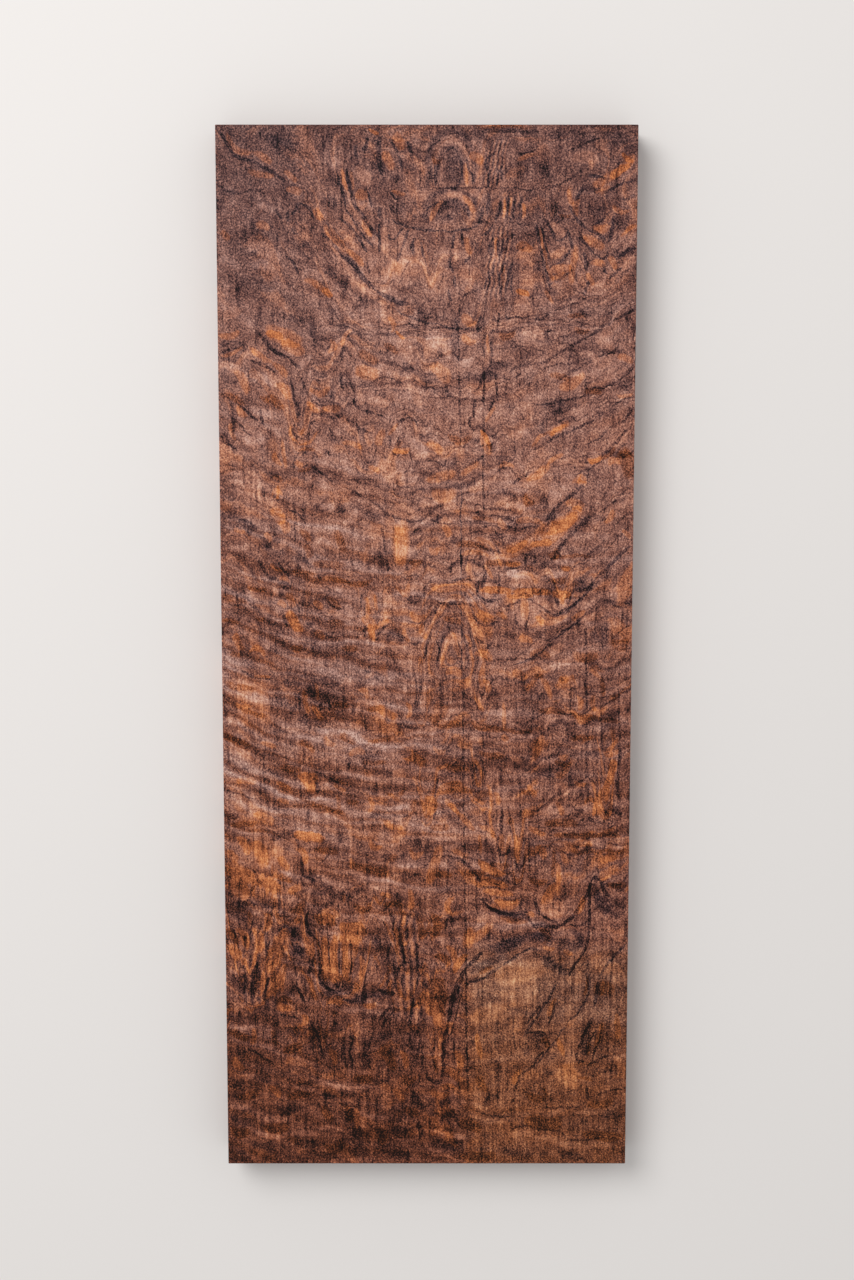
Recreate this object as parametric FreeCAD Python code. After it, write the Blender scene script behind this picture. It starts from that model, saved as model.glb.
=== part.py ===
"""A board of figured walnut: one piece of hardwood, sawn to size, planed, sanded and squared at both ends.

Millimetres. X runs across the board, Y along its grain and Z up through its thickness. The board lies flat
with its show face up, and the origin is under its middle, in the plane of the face that it rests on.
"""

import FreeCAD
import Part
import math
import os

# The board's finished size
board_length = 610.0
board_width = 239.0
board_thickness = 25.0

# Sandpaper rounds the four long arrises, and a lighter pass breaks the edges of the two cross-cut ends
long_arris_radius = 0.6
end_arris_chamfer = 0.3

# An arris can't be rounded past the middle of the thickness, nor the end broken past the rounding
arris_radius = min(long_arris_radius, 0.45 * board_thickness)
end_break = min(end_arris_chamfer, 0.8 * arris_radius)


def planed_section(width, thickness, radius, at_y):
    """The board's cross-section as a face: a rectangle standing on Z = 0 whose four corners are quarter rounds."""
    half = width / 2
    inner = half - radius
    diagonal = radius * math.cos(math.radians(45))

    def point(x, z):
        return FreeCAD.Vector(x, at_y, z)

    def corner(sign_x, centre_z, sign_z):
        centre_x = sign_x * inner
        on_side = point(sign_x * half, centre_z)
        middle = point(centre_x + sign_x * diagonal, centre_z + sign_z * diagonal)
        on_face = point(centre_x, centre_z + sign_z * radius)
        return on_side, middle, on_face

    low = radius
    high = thickness - radius
    right_bottom = corner(1, low, -1)
    right_top = corner(1, high, 1)
    left_top = corner(-1, high, 1)
    left_bottom = corner(-1, low, -1)
    edges = [
        Part.LineSegment(left_bottom[2], right_bottom[2]),
        Part.Arc(right_bottom[2], right_bottom[1], right_bottom[0]),
        Part.LineSegment(right_bottom[0], right_top[0]),
        Part.Arc(right_top[0], right_top[1], right_top[2]),
        Part.LineSegment(right_top[2], left_top[2]),
        Part.Arc(left_top[2], left_top[1], left_top[0]),
        Part.LineSegment(left_top[0], left_bottom[0]),
        Part.Arc(left_bottom[0], left_bottom[1], left_bottom[2]),
    ]
    return Part.Face(Part.Wire([edge.toShape() for edge in edges]))


def edges_at_ends(blank, length):
    """The edges that lie wholly in the plane of either cross-cut end."""
    found = []
    for edge in blank.Edges:
        box = edge.BoundBox
        at_end = abs(abs(box.Center.y) - length / 2) < 1e-6
        if at_end and box.YLength < 1e-6:
            found.append(edge)
    return found


def walnut_board():
    """The planed section run along the grain, with the edges of both ends broken."""
    section = planed_section(board_width, board_thickness, arris_radius, -board_length / 2)
    blank = section.extrude(FreeCAD.Vector(0, board_length, 0))
    return blank.makeChamfer(end_break, edges_at_ends(blank, board_length))


os.makedirs("parts", exist_ok=True)
board = walnut_board()
board.exportStep("parts/board.step")

box = board.BoundBox
print(f"board {box.XLength:.2f} x {box.YLength:.2f} x {box.ZLength:.2f} mm, valid {board.isValid()}")
print(f"solids {len(board.Solids)}, faces {len(board.Faces)}, volume {board.Volume / 1e6:.4f} litres")
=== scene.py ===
import math

import bpy
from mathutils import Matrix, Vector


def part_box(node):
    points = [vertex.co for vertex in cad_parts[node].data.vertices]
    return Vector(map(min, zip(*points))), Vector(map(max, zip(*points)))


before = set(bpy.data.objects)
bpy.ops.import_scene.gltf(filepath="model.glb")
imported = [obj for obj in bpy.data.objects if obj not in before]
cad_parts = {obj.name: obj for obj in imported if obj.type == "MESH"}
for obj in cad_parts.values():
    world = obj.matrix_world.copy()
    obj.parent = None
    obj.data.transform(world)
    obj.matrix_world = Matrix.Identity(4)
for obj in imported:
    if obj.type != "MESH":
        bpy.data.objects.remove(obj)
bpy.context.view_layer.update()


# The board: one piece of figured walnut, sawn to size, planed, sanded and wiped with oil that dries to a
# low satin sheen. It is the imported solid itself, and what shows on it is the wood's own figure, so what is
# made here is its finish.

board = bpy.data.objects["board"]
mm_in_m = 1000.0
low_corner, high_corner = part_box("board")
half_length = (high_corner[1] - low_corner[1]) * mm_in_m / 2
thickness = (high_corner[2] - low_corner[2]) * mm_in_m


class Socket:
    """A socket of a material. Sums written on it add Math nodes, or Vector Math nodes for a vector."""

    def __init__(self, tree, end=None):
        self.tree = tree
        self.end = end

    def node(self, kind, settings=None, sockets=None, out=0):
        """Adds a node of any kind: its settings first, then the values or links of its sockets."""
        made = self.tree.nodes.new(kind)
        for name, value in (settings or {}).items():
            if name == "stops":
                lay_stops(made.color_ramp.elements, value)
            else:
                setattr(made, name, value)
        for name, value in (sockets or {}).items():
            into = made.inputs[name]
            if isinstance(value, Socket):
                self.tree.links.new(value.end, into)
            elif into.type == "VECTOR" and isinstance(value, (int, float)):
                into.default_value = (value, value, value)
            else:
                into.default_value = value
        return Socket(self.tree, made.outputs[out])

    def is_vector(self):
        return self.end.type in ("VECTOR", "RGBA")

    def __add__(self, other):
        return maths("ADD", self, other)

    def __radd__(self, other):
        return maths("ADD", other, self)

    def __sub__(self, other):
        return maths("SUBTRACT", self, other)

    def __rsub__(self, other):
        return maths("SUBTRACT", other, self)

    def __mul__(self, other):
        return maths("MULTIPLY", self, other)

    def __rmul__(self, other):
        return maths("MULTIPLY", other, self)

    def __truediv__(self, other):
        return maths("DIVIDE", self, other)

    def __neg__(self):
        return maths("MULTIPLY", self, -1.0)

    def __abs__(self):
        return maths("ABSOLUTE", self)

    def __gt__(self, other):
        return maths("GREATER_THAN", self, other)

    def times_plus(self, factor, rest):
        return maths("MULTIPLY_ADD", self, factor, rest)

    def dot(self, other):
        return self.node("ShaderNodeVectorMath", {"operation": "DOT_PRODUCT"}, {0: self, 1: other}, out=1)

    def parts(self):
        """The three parts of a vector or a colour, each a socket."""
        kind = "ShaderNodeSeparateColor" if self.end.type == "RGBA" else "ShaderNodeSeparateXYZ"
        first = self.node(kind, None, {0: self})
        return [Socket(self.tree, end) for end in first.end.node.outputs]

    def ease(self, low, high, from_value=0.0, to_value=1.0):
        """Goes smoothly from one value to another while this one goes from low to high."""
        return self.node("ShaderNodeMapRange", {"interpolation_type": "SMOOTHSTEP", "clamp": False},
                         {0: self, 1: low, 2: high, 3: from_value, 4: to_value})

    def ramp(self, stops):
        """The colour at this value on a ramp of stops, each a place and a colour."""
        return self.node("ShaderNodeValToRGB", {"stops": stops}, {0: self})

    def noise(self, detail, roughness, out=0):
        """Blender's noise read at this vector: one value as output 0, or three as output 1."""
        return self.node("ShaderNodeTexNoise", {"noise_dimensions": "3D", "normalize": True},
                         {"Vector": self, "Scale": 1.0, "Detail": detail, "Roughness": roughness}, out=out)


def maths(operation, *terms):
    """A Math node on these terms, or a Vector Math node where one of them is a vector."""
    sockets = [term for term in terms if isinstance(term, Socket)]
    vector = any(term.is_vector() for term in sockets) or any(isinstance(term, tuple) for term in terms)
    kind = "ShaderNodeVectorMath" if vector else "ShaderNodeMath"
    return sockets[0].node(kind, {"operation": operation}, dict(enumerate(terms)))


def lay_stops(elements, stops):
    """Sets a ramp's stops from pairs of a place and a colour."""
    while len(elements) < len(stops):
        elements.new(1.0)
    for element, (place, colour) in zip(elements, stops):
        element.position = place
        element.color = (*colour, 1.0)


def linear(red, green, blue):
    """The colour that looks like these 0 to 255 values, as the linear one that a shader takes."""
    shares = [value / 255 for value in (red, green, blue)]
    return tuple(s / 12.92 if s <= 0.04045 else ((s + 0.055) / 1.055) ** 2.4 for s in shares)


walnut = bpy.data.materials.new("walnut_figured")
walnut.use_nodes = True
walnut.node_tree.nodes.remove(walnut.node_tree.nodes["Principled BSDF"])
wood = Socket(walnut.node_tree)

# Where a point lies in the board, in millimetres from the middle of the show face. The figure drifts
# sideways with depth, as it does in the tree, so the edges carry it down aslant and the back shows its own
# part of it. The third part of the flat place is 1, so that one product can both scale a place and move it.
drift_across = 0.55
drift_along = -0.30
point = wood.node("ShaderNodeTexCoord", out=3) * mm_in_m
true_x, true_y, true_z = point.parts()
depth = thickness - true_z
x = depth.times_plus(drift_across, true_x)
y = depth.times_plus(drift_along, true_y)
flat = wood.node("ShaderNodeCombineXYZ", None, {0: x, 1: y, 2: 1.0})


def mottle(wide, long, shift, detail, roughness, out=0):
    """Noise with spots about so many millimetres wide and long. A shift sets it apart from the rest."""
    here = flat * (1 / wide, 1 / long, 1.0)
    if shift:
        here = here + (*shift, 0.0)
    return here.noise(detail, roughness, out)


def less(share, where):
    """1, less this share of it in the given part of the face."""
    return 1.0 - share * where


# How light and how warm the wood is from its foot to its head: mauve brown and pale toward the head, redder
# and dull toward the foot. The darkening toward the foot is partly the wood's own deepening and partly
# painted shade, where the light falls off toward the foot. The ramp's red is the tone, and its green is the
# warmth. The edges are a little duller.
along_board = true_y.times_plus(1 / (2 * half_length), 0.5)
stain_and_falloff = along_board.ramp([
    (0.00, (0.230, 0.78, 0.0)), (0.06, (0.248, 0.76, 0.0)),
    (0.18, (0.300, 0.62, 0.0)), (0.31, (0.362, 0.48, 0.0)),
    (0.44, (0.380, 0.39, 0.0)), (0.56, (0.403, 0.32, 0.0)),
    (0.69, (0.432, 0.25, 0.0)), (0.81, (0.414, 0.18, 0.0)),
    (0.94, (0.350, 0.13, 0.0)), (1.00, (0.315, 0.10, 0.0))])
tone, warmth, _ = stain_and_falloff.parts()
tone = abs(true_x).ease(20.0, 115.0, 0.018, -0.022) + tone

# Parts of the face have their own ways: curl lies over the left below the middle, and the right above the
# middle has plain sweeping rings. The foot's right is calm pale wood and its left is dull. The head's left
# corner is quiet, and right of it the marks drawn below carry most of the figure.
curl_home = x.ease(30.0, -60.0) * along_board.ease(0.24, 0.34) * along_board.ease(0.72, 0.58)
sweep = x.ease(5.0, 60.0) * along_board.ease(0.60, 0.68) * along_board.ease(0.90, 0.82)
calm = x.ease(12.0, 34.0) * along_board.ease(0.275, 0.235)
quiet = x.ease(-62.0, -88.0) * along_board.ease(0.70, 0.77)
dull = x.ease(14.0, -4.0) * along_board.ease(0.16, 0.10)
drawn = x.ease(-78.0, -60.0) * along_board.ease(0.83, 0.86)
tone = (calm * along_board.ease(0.11, 0.17, 0.05, 0.06)) + tone
warmth = (calm * along_board.ease(0.11, 0.17, 0.0, -0.16)) + warmth
warmth = drawn.times_plus(0.10, warmth)

# The growth rings show as lines that hang like bowls under the head, and stray in slow and in quick waves.
bowl_middle = 12.0
from_middle = x - bowl_middle
hang = (from_middle * from_middle) * along_board.ease(0.05, 0.6, 0.0006, 0.0024)
slow = mottle(46.0, 52.0, (5.2, 1.3), 1.0, 0.5)
quick = mottle(16.0, 38.0, (2.2, 8.3), 1.0, 0.5)
slow_stray = 50.0
quick_stray = 17.0 * less(0.6, sweep)


def window(low_y, high_y):
    """1 between two heights of the face, thinning out to 0 over a few millimetres past them."""
    outside = 9.0
    inside = 7.0
    return y.ease(low_y - outside, low_y + inside) * y.ease(high_y + outside, high_y - inside)


def fault(from_x, to_x, rise, low_y, high_y):
    """Lifts the rings by so much between two places across the face, so they bunch up and stand."""
    return x.ease(from_x, to_x, 0.0, -rise) * window(low_y, high_y)


def tongue(middle_x, half_width, rise, low_y, high_y):
    """Draws the rings up, or down, into nested tongues."""
    return abs(x - middle_x).ease(half_width, 0.0, 0.0, -rise) * window(low_y, high_y)


# The rings stand up in steps and tongues: under the head, below it, about the middle and over the foot's
# left.
bent = [
    (fault, -74, -34, -42, 190, 305), (fault, 25, 39, 44, 185, 300), (fault, 65, 71, -24, 205, 262),
    (fault, 80, 93, -28, 212, 290), (fault, 94, 122, 34, 195, 290),
    (tongue, 14, 12, 34, 270, 296), (tongue, 13, 11, 26, 245, 266), (tongue, -26, 8, -24, 214, 262),
    (tongue, -50, 9, -22, 240, 292), (tongue, 3, 5, -22, 210, 244), (tongue, -90, 14, 16, 225, 275),

    (tongue, -74, 10, -34, 118, 170), (tongue, -47, 12, 20, 150, 190), (tongue, -14, 10, 22, 110, 142),
    (tongue, -33, 8, -20, 112, 135), (tongue, -100, 12, 18, 140, 180),

    (tongue, 15, 22, 46, -6, 42), (tongue, 30, 14, 24, 48, 70), (tongue, 56, 7, 16, 26, 48),
    (tongue, 78, 8, -18, 26, 60), (tongue, -33, 9, -34, 6, 42), (tongue, -75, 9, -36, 8, 46),
    (tongue, -3, 4, -22, -34, 0), (tongue, 32, 7, -24, -36, -4), (tongue, 44, 4, -22, -122, -92),
    (tongue, 54, 5, -26, -130, -94), (tongue, 106, 9, -36, -96, -44), (tongue, 0, 8, -28, -100, -66),
    (tongue, -71, 9, -26, -108, -62), (tongue, 30, 6, -24, -78, -54),

    (tongue, -56, 18, -46, -202, -148), (tongue, -106, 13, -34, -206, -146),
    (tongue, -12, 10, -38, -204, -150), (tongue, -84, 7, 26, -200, -158), (tongue, -30, 8, 30, -200, -152),
    (tongue, -62, 7, -26, -246, -208), (tongue, -44, 8, 20, -250, -214)]
bends = 0.0
for shape, *numbers in bent:
    bends = bends + shape(*numbers)

# In the same places they are frayed into combs of narrow flames.
head_comb = (x.ease(-90.0, -50.0) * x.ease(112.0, 80.0)
             * along_board.ease(0.80, 0.84) * along_board.ease(0.99, 0.95))
foot_comb = x.ease(26.0, 6.0) * along_board.ease(0.08, 0.15) * along_board.ease(0.32, 0.27)
comb_height = 11.0 * head_comb + 34.0 * foot_comb + 7.0
comb = mottle(5.0, 80.0, (1.7, 5.1), 1.0, 0.5)
level = ((comb - 0.5) * comb_height
         + quick.times_plus(quick_stray, slow.times_plus(slow_stray, y - hang)) + bends)

# A ring is a broad change of tone, and two dark lines with a pale one between them run along its edge.
lively = less(0.65, curl_home) * less(0.72, calm) * less(0.80, quiet) * less(0.6, dull)
lively = lively * less(0.6, drawn)
ring_place = wood.node("ShaderNodeCombineXYZ", None, {0: x / 120.0, 1: y / 160.0, 2: level / 9.0})
ring = ring_place.noise(2.0, 0.6)
tone = (ring - 0.5) * (0.36 * less(0.5, calm) * less(0.70, quiet) * less(0.5, dull)) + tone
edge = (ring_place * (1.0, 1.0, 0.42) + (31.0, 3.0, 7.0)).noise(2.0, 0.5)
for height, half_width, lighten in ((0.50, 0.022, -0.13), (0.60, 0.016, -0.09), (0.55, 0.035, 0.06)):
    tone = abs(edge - height).ease(0.0, half_width, lighten, 0.0) * lively + tone

# Where the rings stand upright they split into combs of even lines, and under the head and just below the
# middle they close into arches.
sway = mottle(40.0, 13.0, (4.0, 6.0), 2.0, 0.5)


def even_lines(middle_x, half_width, low_y, high_y, spacing, lean):
    """Even lines side by side, which lean and sway together as they run down the board."""
    sway_reach = 7.0
    fade = 3
    across = sway.times_plus(sway_reach, y.times_plus(-lean, x)) + (
        lean * (low_y + high_y) / 2 - sway_reach / 2 - middle_x)
    inside = abs(across).ease(half_width, 0.6 * half_width) * y.ease(low_y - fade, low_y + fade)
    return maths("SINE", across * (2 * math.pi / spacing)) * (inside * y.ease(high_y + fade, high_y - fade))


def arches(middle_x, spring_y, reach_x, reach_y, low_y):
    """Nested arches on upright legs: dark round a dark middle, then pale and dark in turn outward."""
    sway_reach = 4
    fade = 2
    firmness = 0.65
    sideways = sway.times_plus(sway_reach / reach_x, (x - (middle_x + sway_reach / 2)) / reach_x)
    rise = maths("MAXIMUM", (y - spring_y) / reach_y, 0.0)
    out = maths("SQRT", sideways.times_plus(sideways, rise * rise))
    inside = out.ease(3.1, 2.0) * y.ease(low_y - fade, low_y + fade)
    return maths("COSINE", maths("MAXIMUM", out, 0.86) * (2 * math.pi)) * (inside * firmness)


standing = (even_lines(39, 7, 270, 297, 2.7, 0.26) + even_lines(48, 9, 252, 266, 3.8, 0.12)
            + even_lines(41, 8, 209, 248, 2.7, 0.11)
            + even_lines(-101, 11, -207, -160, 4.4, -0.02) + even_lines(-11, 9, -214, -150, 4.4, -0.06)
            + arches(13.5, 282, 6.5, 10, 271) + arches(14, 256, 7.5, 6.5, 252)
            + arches(15, -2.8, 4.3, 12.2, -5))
tone = standing.times_plus(-0.10, tone)
warmth = standing.times_plus(-0.14, warmth)

# Amber patches lie between the rings, each with a thin dark rim, and cloudy mottle lies over everything.
patch_place = wood.node("ShaderNodeCombineXYZ", None, {0: x / 22.0, 1: y / 60.0, 2: level / 12.0})
patch = (patch_place + (3.7, 9.1, 2.4)).noise(2.0, 0.55)
patch_rim = 0.53
amber_patch = patch.ease(patch_rim, 0.64) * less(0.55, sweep) * less(0.85, calm) * less(0.55, curl_home)
amber_patch = amber_patch * less(0.7, dull)
warmth = (amber_patch * along_board.ease(0.85, 0.45, 0.20, 0.42)) + warmth
tone = amber_patch.times_plus(0.055, tone)
tone = abs(patch - patch_rim).ease(0.0, 0.018, -0.05, 0.0) * lively + tone
cloud = mottle(7.0, 9.0, (3.1, 7.7), 3.0, 0.6)
cloud_depth = 0.34
tone = cloud.times_plus(cloud_depth, tone) - cloud_depth / 2
warmth = (cloud - 0.5) * (-0.45 * less(0.6, dull)) + warmth

# The grain runs along the board: upright streaks of several widths, and short dark flames.
streak = mottle(1.7, 60.0, None, 3.0, 0.7)
tone = (streak - 0.5) * along_board.ease(0.75, 0.35, 0.26, 0.46) + tone
flame = mottle(2.6, 17.0, (6.0, 4.0), 2.0, 0.6)
tone = flame.ease(0.55, 0.72) * -0.13 + tone

# Curl: rolls of paler and rustier wood across the grain, strongest on the left below the middle.
roll_spacing = 5.2
dip = maths("MINIMUM", x, 20.0) - 20.0
jog = mottle(34.0, 20.0, (9.0, 2.0), 2.0, 0.5)
rolls = jog.times_plus(14.0, (dip * dip).times_plus(-0.0014, y))
roll_place = wood.node("ShaderNodeCombineXYZ", None, {0: x / 80.0, 1: y / 300.0, 2: rolls / roll_spacing})
roll = roll_place.noise(1.5, 0.5)
curl_reach = along_board.ramp([
    (0.0, (0.45, 0.0, 0.0)), (0.15, (0.65, 0.0, 0.0)), (0.4, (1.0, 0.0, 0.0)), (0.6, (0.80, 0.0, 0.0)),
    (0.72, (0.35, 0.0, 0.0)), (1.0, (0.20, 0.0, 0.0))]).parts()[0]
curl = (roll - 0.5) * (x.ease(-40.0, 90.0, 1.0, 0.6) * curl_reach) * (1.0 + 0.6 * curl_home)
tone = curl.times_plus(0.45, tone)
warmth = curl.times_plus(-1.3, warmth)

# The finest marks: speckle, and open pores that show as short dark dashes along the grain. The speckle is
# read through a turn, because noise this fine shows its own square lattice when it lies in line with the
# board.
turned = wood.node("ShaderNodeMapping", None, {
    "Vector": flat, "Rotation": (0.6, 0.5, 0.7), "Scale": (1 / 0.78, 1 / 0.88, 1.0)})
speckle = turned.noise(1.0, 0.7)
tone = speckle.times_plus(0.90, tone) - 0.455
pores = mottle(0.42, 3.0, None, 1.0, 0.5).ease(0.58, 0.72)
tone = (pores * along_board.ease(0.75, 0.35, -0.07, -0.15)) + tone

# Each mark below wanders a little off its line, as a figure in wood does, and has a ragged edge.
wander = (mottle(7.0, 9.0, None, 3.0, 0.6, out=1) - 0.5) * (3.2, 4.0, 0.0)
place = flat + wander

# The figure is drawn a stroke at a time, in millimetres from the middle of the show face. A row is a
# stroke's half width and then the points that it bends through. Each kind of mark has how firm its edge is,
# how much it lightens the wood, and how far it turns the wood from mauve brown to amber.

ink = (1.6, -0.165, -0.07)
bold = (2.1, -0.21, -0.10)
navy = (1.7, -0.14, -0.22)
line = (1.6, -0.13, -0.04)
shade = (1.2, -0.085, -0.05)
rust = (1.3, -0.075, 0.40)
amber = (1.5, 0.065, 0.40)
glow = (1.5, 0.045, 0.75)
tan = (1.7, 0.095, 0.08)
crest = (1.4, 0.095, -0.10)
dusk = (1.1, -0.095, -0.16)
dim = (0.9, -0.075, 0.0)
lift = (0.9, 0.065, 0.0)
ember = (0.9, 0.05, 0.20)
marks = []


def lay(kind, rows):
    """Cuts each row into arcs through three points and adds them to the board's marks."""
    for width, *numbers in rows:
        points = list(zip(numbers[0::2], numbers[1::2]))
        while len(points) > 1:
            if len(points) == 2:
                middle = ((points[0][0] + points[1][0]) / 2, (points[0][1] + points[1][1]) / 2)
                points.insert(1, middle)
            marks.append((kind, width, points[0], points[1], points[2]))
            points = points[2:]


# The head, left of the middle: a dark curve round the corner, and lines that lean down to the right.
lay(navy, [
    (1.2, -117, 301, -112, 294, -109, 288), (1.25, -109, 288, -103, 286, -98, 285),
    (1.2, -98, 285, -90, 280, -80, 274), (1.2, -73, 262, -68, 260, -64, 252),
    (1, -77, 255, -75, 258, -73, 262), (0.95, -79, 257, -79, 254, -78, 251),
    (1.35, -75, 249, -75, 246, -73, 243), (0.95, -80, 232, -76, 228, -73, 222),
    (1.1, -60, 245, -55, 240, -50, 233.5), (1.1, -50, 233.5, -44, 229, -38, 222),
    (1.05, -50, 254, -45, 250, -41, 246), (1.05, -41, 246, -38, 241, -35, 235),
    (1.05, -45, 281, -45, 274, -43, 266), (1.05, -43, 266, -41, 261, -37, 258),
    (0.9, -33, 268, -32, 263, -31, 259), (1.6, -27, 298, -27, 287, -26, 277),
    (1.35, -33, 298, -34, 295, -36, 290), (1.2, -40, 294, -40, 290, -39, 286),
    (1.1, -20, 297, -16, 288, -14, 279), (1.2, -11, 296, -9, 290, -8, 284),
    (1.2, -27, 260, -27, 257, -26, 253), (0.95, -27, 251, -27, 243, -27, 234),
    (0.9, -32, 250, -31, 246, -30, 241), (1, -20, 268, -19, 265, -17, 263),
    (0.9, -13, 248, -16, 244, -19, 241), (0.8, -22, 245, -21, 242, -19, 241),
    (0.95, -10, 247, -13, 239, -17, 229), (1.1, -7, 242, -8, 237, -7, 232),
    (0.9, -3, 240, -3, 235, -2, 231), (0.95, -38, 240, -37, 238, -34, 234),
    (0.95, -86, 258, -84, 255, -82, 252),
])
lay(navy, [
    (1.7, -60, 254, -54, 245, -46, 235, -38, 222, -29, 213, -20, 208, -10, 205),
    (0.8, -19, 203, -7, 197, 6, 193.5, 16, 191.5, 27, 193),
    (0.9, -45.5, 281, -43.5, 272, -40, 261, -33, 250, -26, 241),
    (0.9, -51.5, 281, -48.5, 270, -45.5, 259, -38, 246.5, -30, 236),
    (0.8, -20, 252, -6, 247, 8, 246.5, 22, 247, 33, 253),
])
lay(tan, [
    (1.1, -48.5, 281, -46, 271, -42.5, 260, -35, 248, -27, 238.5, -21.5, 231.5, -17, 227),
    (5, 54, 234, 57, 222, 56, 208), (1.3, -58, 243, -48, 229, -41, 219, -31, 209, -19, 204),
])
lay(line, [
    (0.9, -34, 229, -33, 225, -33, 221), (0.8, -29, 219, -24, 217, -18, 219),
    (0.9, -10, 229, -13, 223, -16, 217), (0.8, 0, 290, 4, 294, 9, 297),
    (0.9, -119, 272, -112, 268, -104, 267), (0.8, -104, 267, -97, 269, -92, 266),
])
lay(shade, [
    (5, -74, 242, -69, 236, -63, 231), (3, -63, 227, -57, 225, -51, 219),
    (2.2, -50, 219, -48, 217, -46, 213), (3, -29, 298, -28, 287, -24, 276),
    (2.4, -21, 277, -17, 275, -14, 277), (1.8, -9, 256, -5, 254, -1, 256),
    (4, -56, 276, -52, 274, -50, 271), (7, -88, 296, -80, 292, -72, 292), (4, -22, 262, -18, 258, -12, 262),
    (3.5, -60, 262, -55, 262, -51, 259), (4, -92, 298, -86, 296, -82, 292),
    (3.5, -32, 206, -36, 205, -40, 208),
])
lay(amber, [
    (2.3, -113, 301, -107, 291, -98, 290), (2.2, -98, 290, -93, 288, -88, 283),
    (2.2, -101, 279, -94, 277, -86, 277), (2, -81, 279, -77, 277, -74, 273),
    (2.4, -80, 269, -76, 269, -71, 267), (2.8, -58, 249, -52, 242, -46, 235),
    (2.4, -46, 236, -41, 232, -36, 226), (2.6, -36, 253, -33, 247, -31, 243),
    (1.4, -48, 281, -47, 274, -45, 268), (1.1, -43, 280, -42, 273, -42, 268),
    (3.5, -40, 267, -36, 266, -33, 265), (3.5, -18, 301, -16, 296, -13, 291),
    (3.4, -24, 291, -22, 286, -19, 280), (1.6, -20, 269, -16, 267, -12, 266),
    (2.2, -70, 219, -62, 216, -56, 210), (2.5, -97, 250, -92, 249, -89, 247),
    (2.4, -117, 246, -114, 243, -112, 241), (2.5, -64, 259, -62, 256, -59, 252),
])
lay(glow, [
    (2.2, -59, 214, -57, 212, -54, 209), (1.5, -33, 302, -30, 301, -27, 300),
])
lay(tan, [
    (4.5, -40, 281, -36, 277, -33, 272), (2.4, -47, 256, -42, 250, -37, 246),
    (2.2, -49, 247, -44, 241, -39, 236), (3.5, -9, 266, -5, 266, 0, 265), (5, -26, 222, -13, 226, 0, 225),
    (4, -44, 219, -36, 212, -22, 213), (2.6, -17, 244, -14, 239, -15, 233),
    (1.6, -5, 241, -5, 236, -4, 232), (2.5, -24, 249, -24, 241, -23, 234),
])
lay(crest, [
    (2.4, -71, 223, -63, 222, -56, 217), (4.5, -102, 238, -92, 236, -83, 231),
    (3.5, -119, 230, -112, 228, -106, 226), (3.5, -102, 228, -93, 227, -86, 223),
    (5, -60, 290, -55, 286, -49, 283), (2.5, -96, 261, -90, 259, -85, 257),
])

# The head, right of the middle: two arches one below the other, nested lines that hang like a curtain
# beside

# them, and a family that opens to the right edge.
lay(navy, [
    (1, 10, 289, 14, 292, 18, 288), (1, 18, 288, 20, 281, 19, 275), (0.95, 19, 275, 17, 271, 13, 270),
    (1.2, 6, 283, 5, 277, 5, 271), (0.8, 3, 284, 3, 278, 3, 272), (1, 22, 287, 23, 283, 25, 278),
    (1.1, 25, 279, 26, 276, 26, 272), (1.2, 38, 289, 34, 285, 34, 280), (1.25, 35, 283, 35, 277, 35, 270),
    (0.9, 40, 281, 40, 276, 39, 271), (0.9, 43, 282, 42, 278, 42, 274), (1.35, 35, 268, 35, 262, 34, 255),
    (1.05, 32, 260, 31, 255, 29, 251), (0.95, 37, 260, 37, 256, 35, 253), (1.15, 42, 263, 41, 257, 39, 251),
    (0.8, 46, 265, 46, 259, 45, 253), (0.95, 49, 263, 49, 257, 47, 251), (0.9, 52, 262, 52, 257, 51, 252),
    (0.95, 22, 262, 24, 258, 24, 254), (1.05, 12, 256, 13, 254, 15, 253), (0.9, 0, 257, 3, 260, 7, 262),
    (0.95, 38, 250, 35, 246, 31, 243), (0.95, 25, 232, 23, 230, 21, 228), (1.15, 16, 245, 15, 241, 15, 236),
    (0.8, 20, 246, 20, 242, 20, 238), (0.95, 38, 243, 36, 238, 36, 232), (1.05, 43, 244, 41, 238, 41, 231),
    (0.8, 45, 243, 43, 237, 43, 231), (1.2, 50, 245, 46, 240, 45, 230), (1.05, 46, 230, 43, 225, 41, 220),
    (1.15, 41, 221, 42, 216, 41, 210), (1.1, 49, 229, 47, 222, 45, 213), (0.95, 39, 227, 36, 221, 35, 212),
    (0.8, 36, 225, 34, 219, 33, 213), (0.9, 49, 222, 48, 217, 49, 211), (1.05, 12, 213, 13, 209, 14, 206),
    (1.05, 16, 221, 16, 218, 16, 214), (0.95, 13, 232, 13, 228, 15, 223), (1.05, 62, 250, 64, 240, 66, 230),
    (1, 66, 231, 68, 221, 71, 213), (0.8, 65, 249, 67, 240, 69, 233), (1, 67, 254, 70, 247, 73, 241),
    (0.9, 73, 241, 77, 241, 80, 246), (0.95, 73, 227, 77, 230, 82, 235), (0.95, 70, 216, 76, 219, 83, 225),
    (1.05, 81, 260, 85, 253, 91, 247), (1.05, 91, 247, 96, 245, 102, 241),
    (0.95, 94, 249, 98, 251, 103, 256), (1.1, 106, 254, 105, 247, 104, 240),
    (0.95, 86, 243, 91, 239, 95, 234), (1.05, 95, 234, 99, 231, 103, 237), (1.4, 89, 234, 90, 229, 91, 224),
    (0.9, 80, 247, 81, 243, 84, 235), (0.95, 100, 228, 101, 224, 103, 222),
    (1.05, 103, 219, 107, 222, 111, 226), (0.9, 92, 218, 91, 214, 90, 210),
    (1.15, 91, 277, 95, 277, 101, 275), (0.95, 96, 266, 106, 270, 118, 275),
    (1.2, 109, 232, 113, 234, 119, 237), (1.1, 84, 262, 86, 266, 88, 270),
    (1.05, 110, 263, 113, 264, 118, 266),
])
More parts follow.
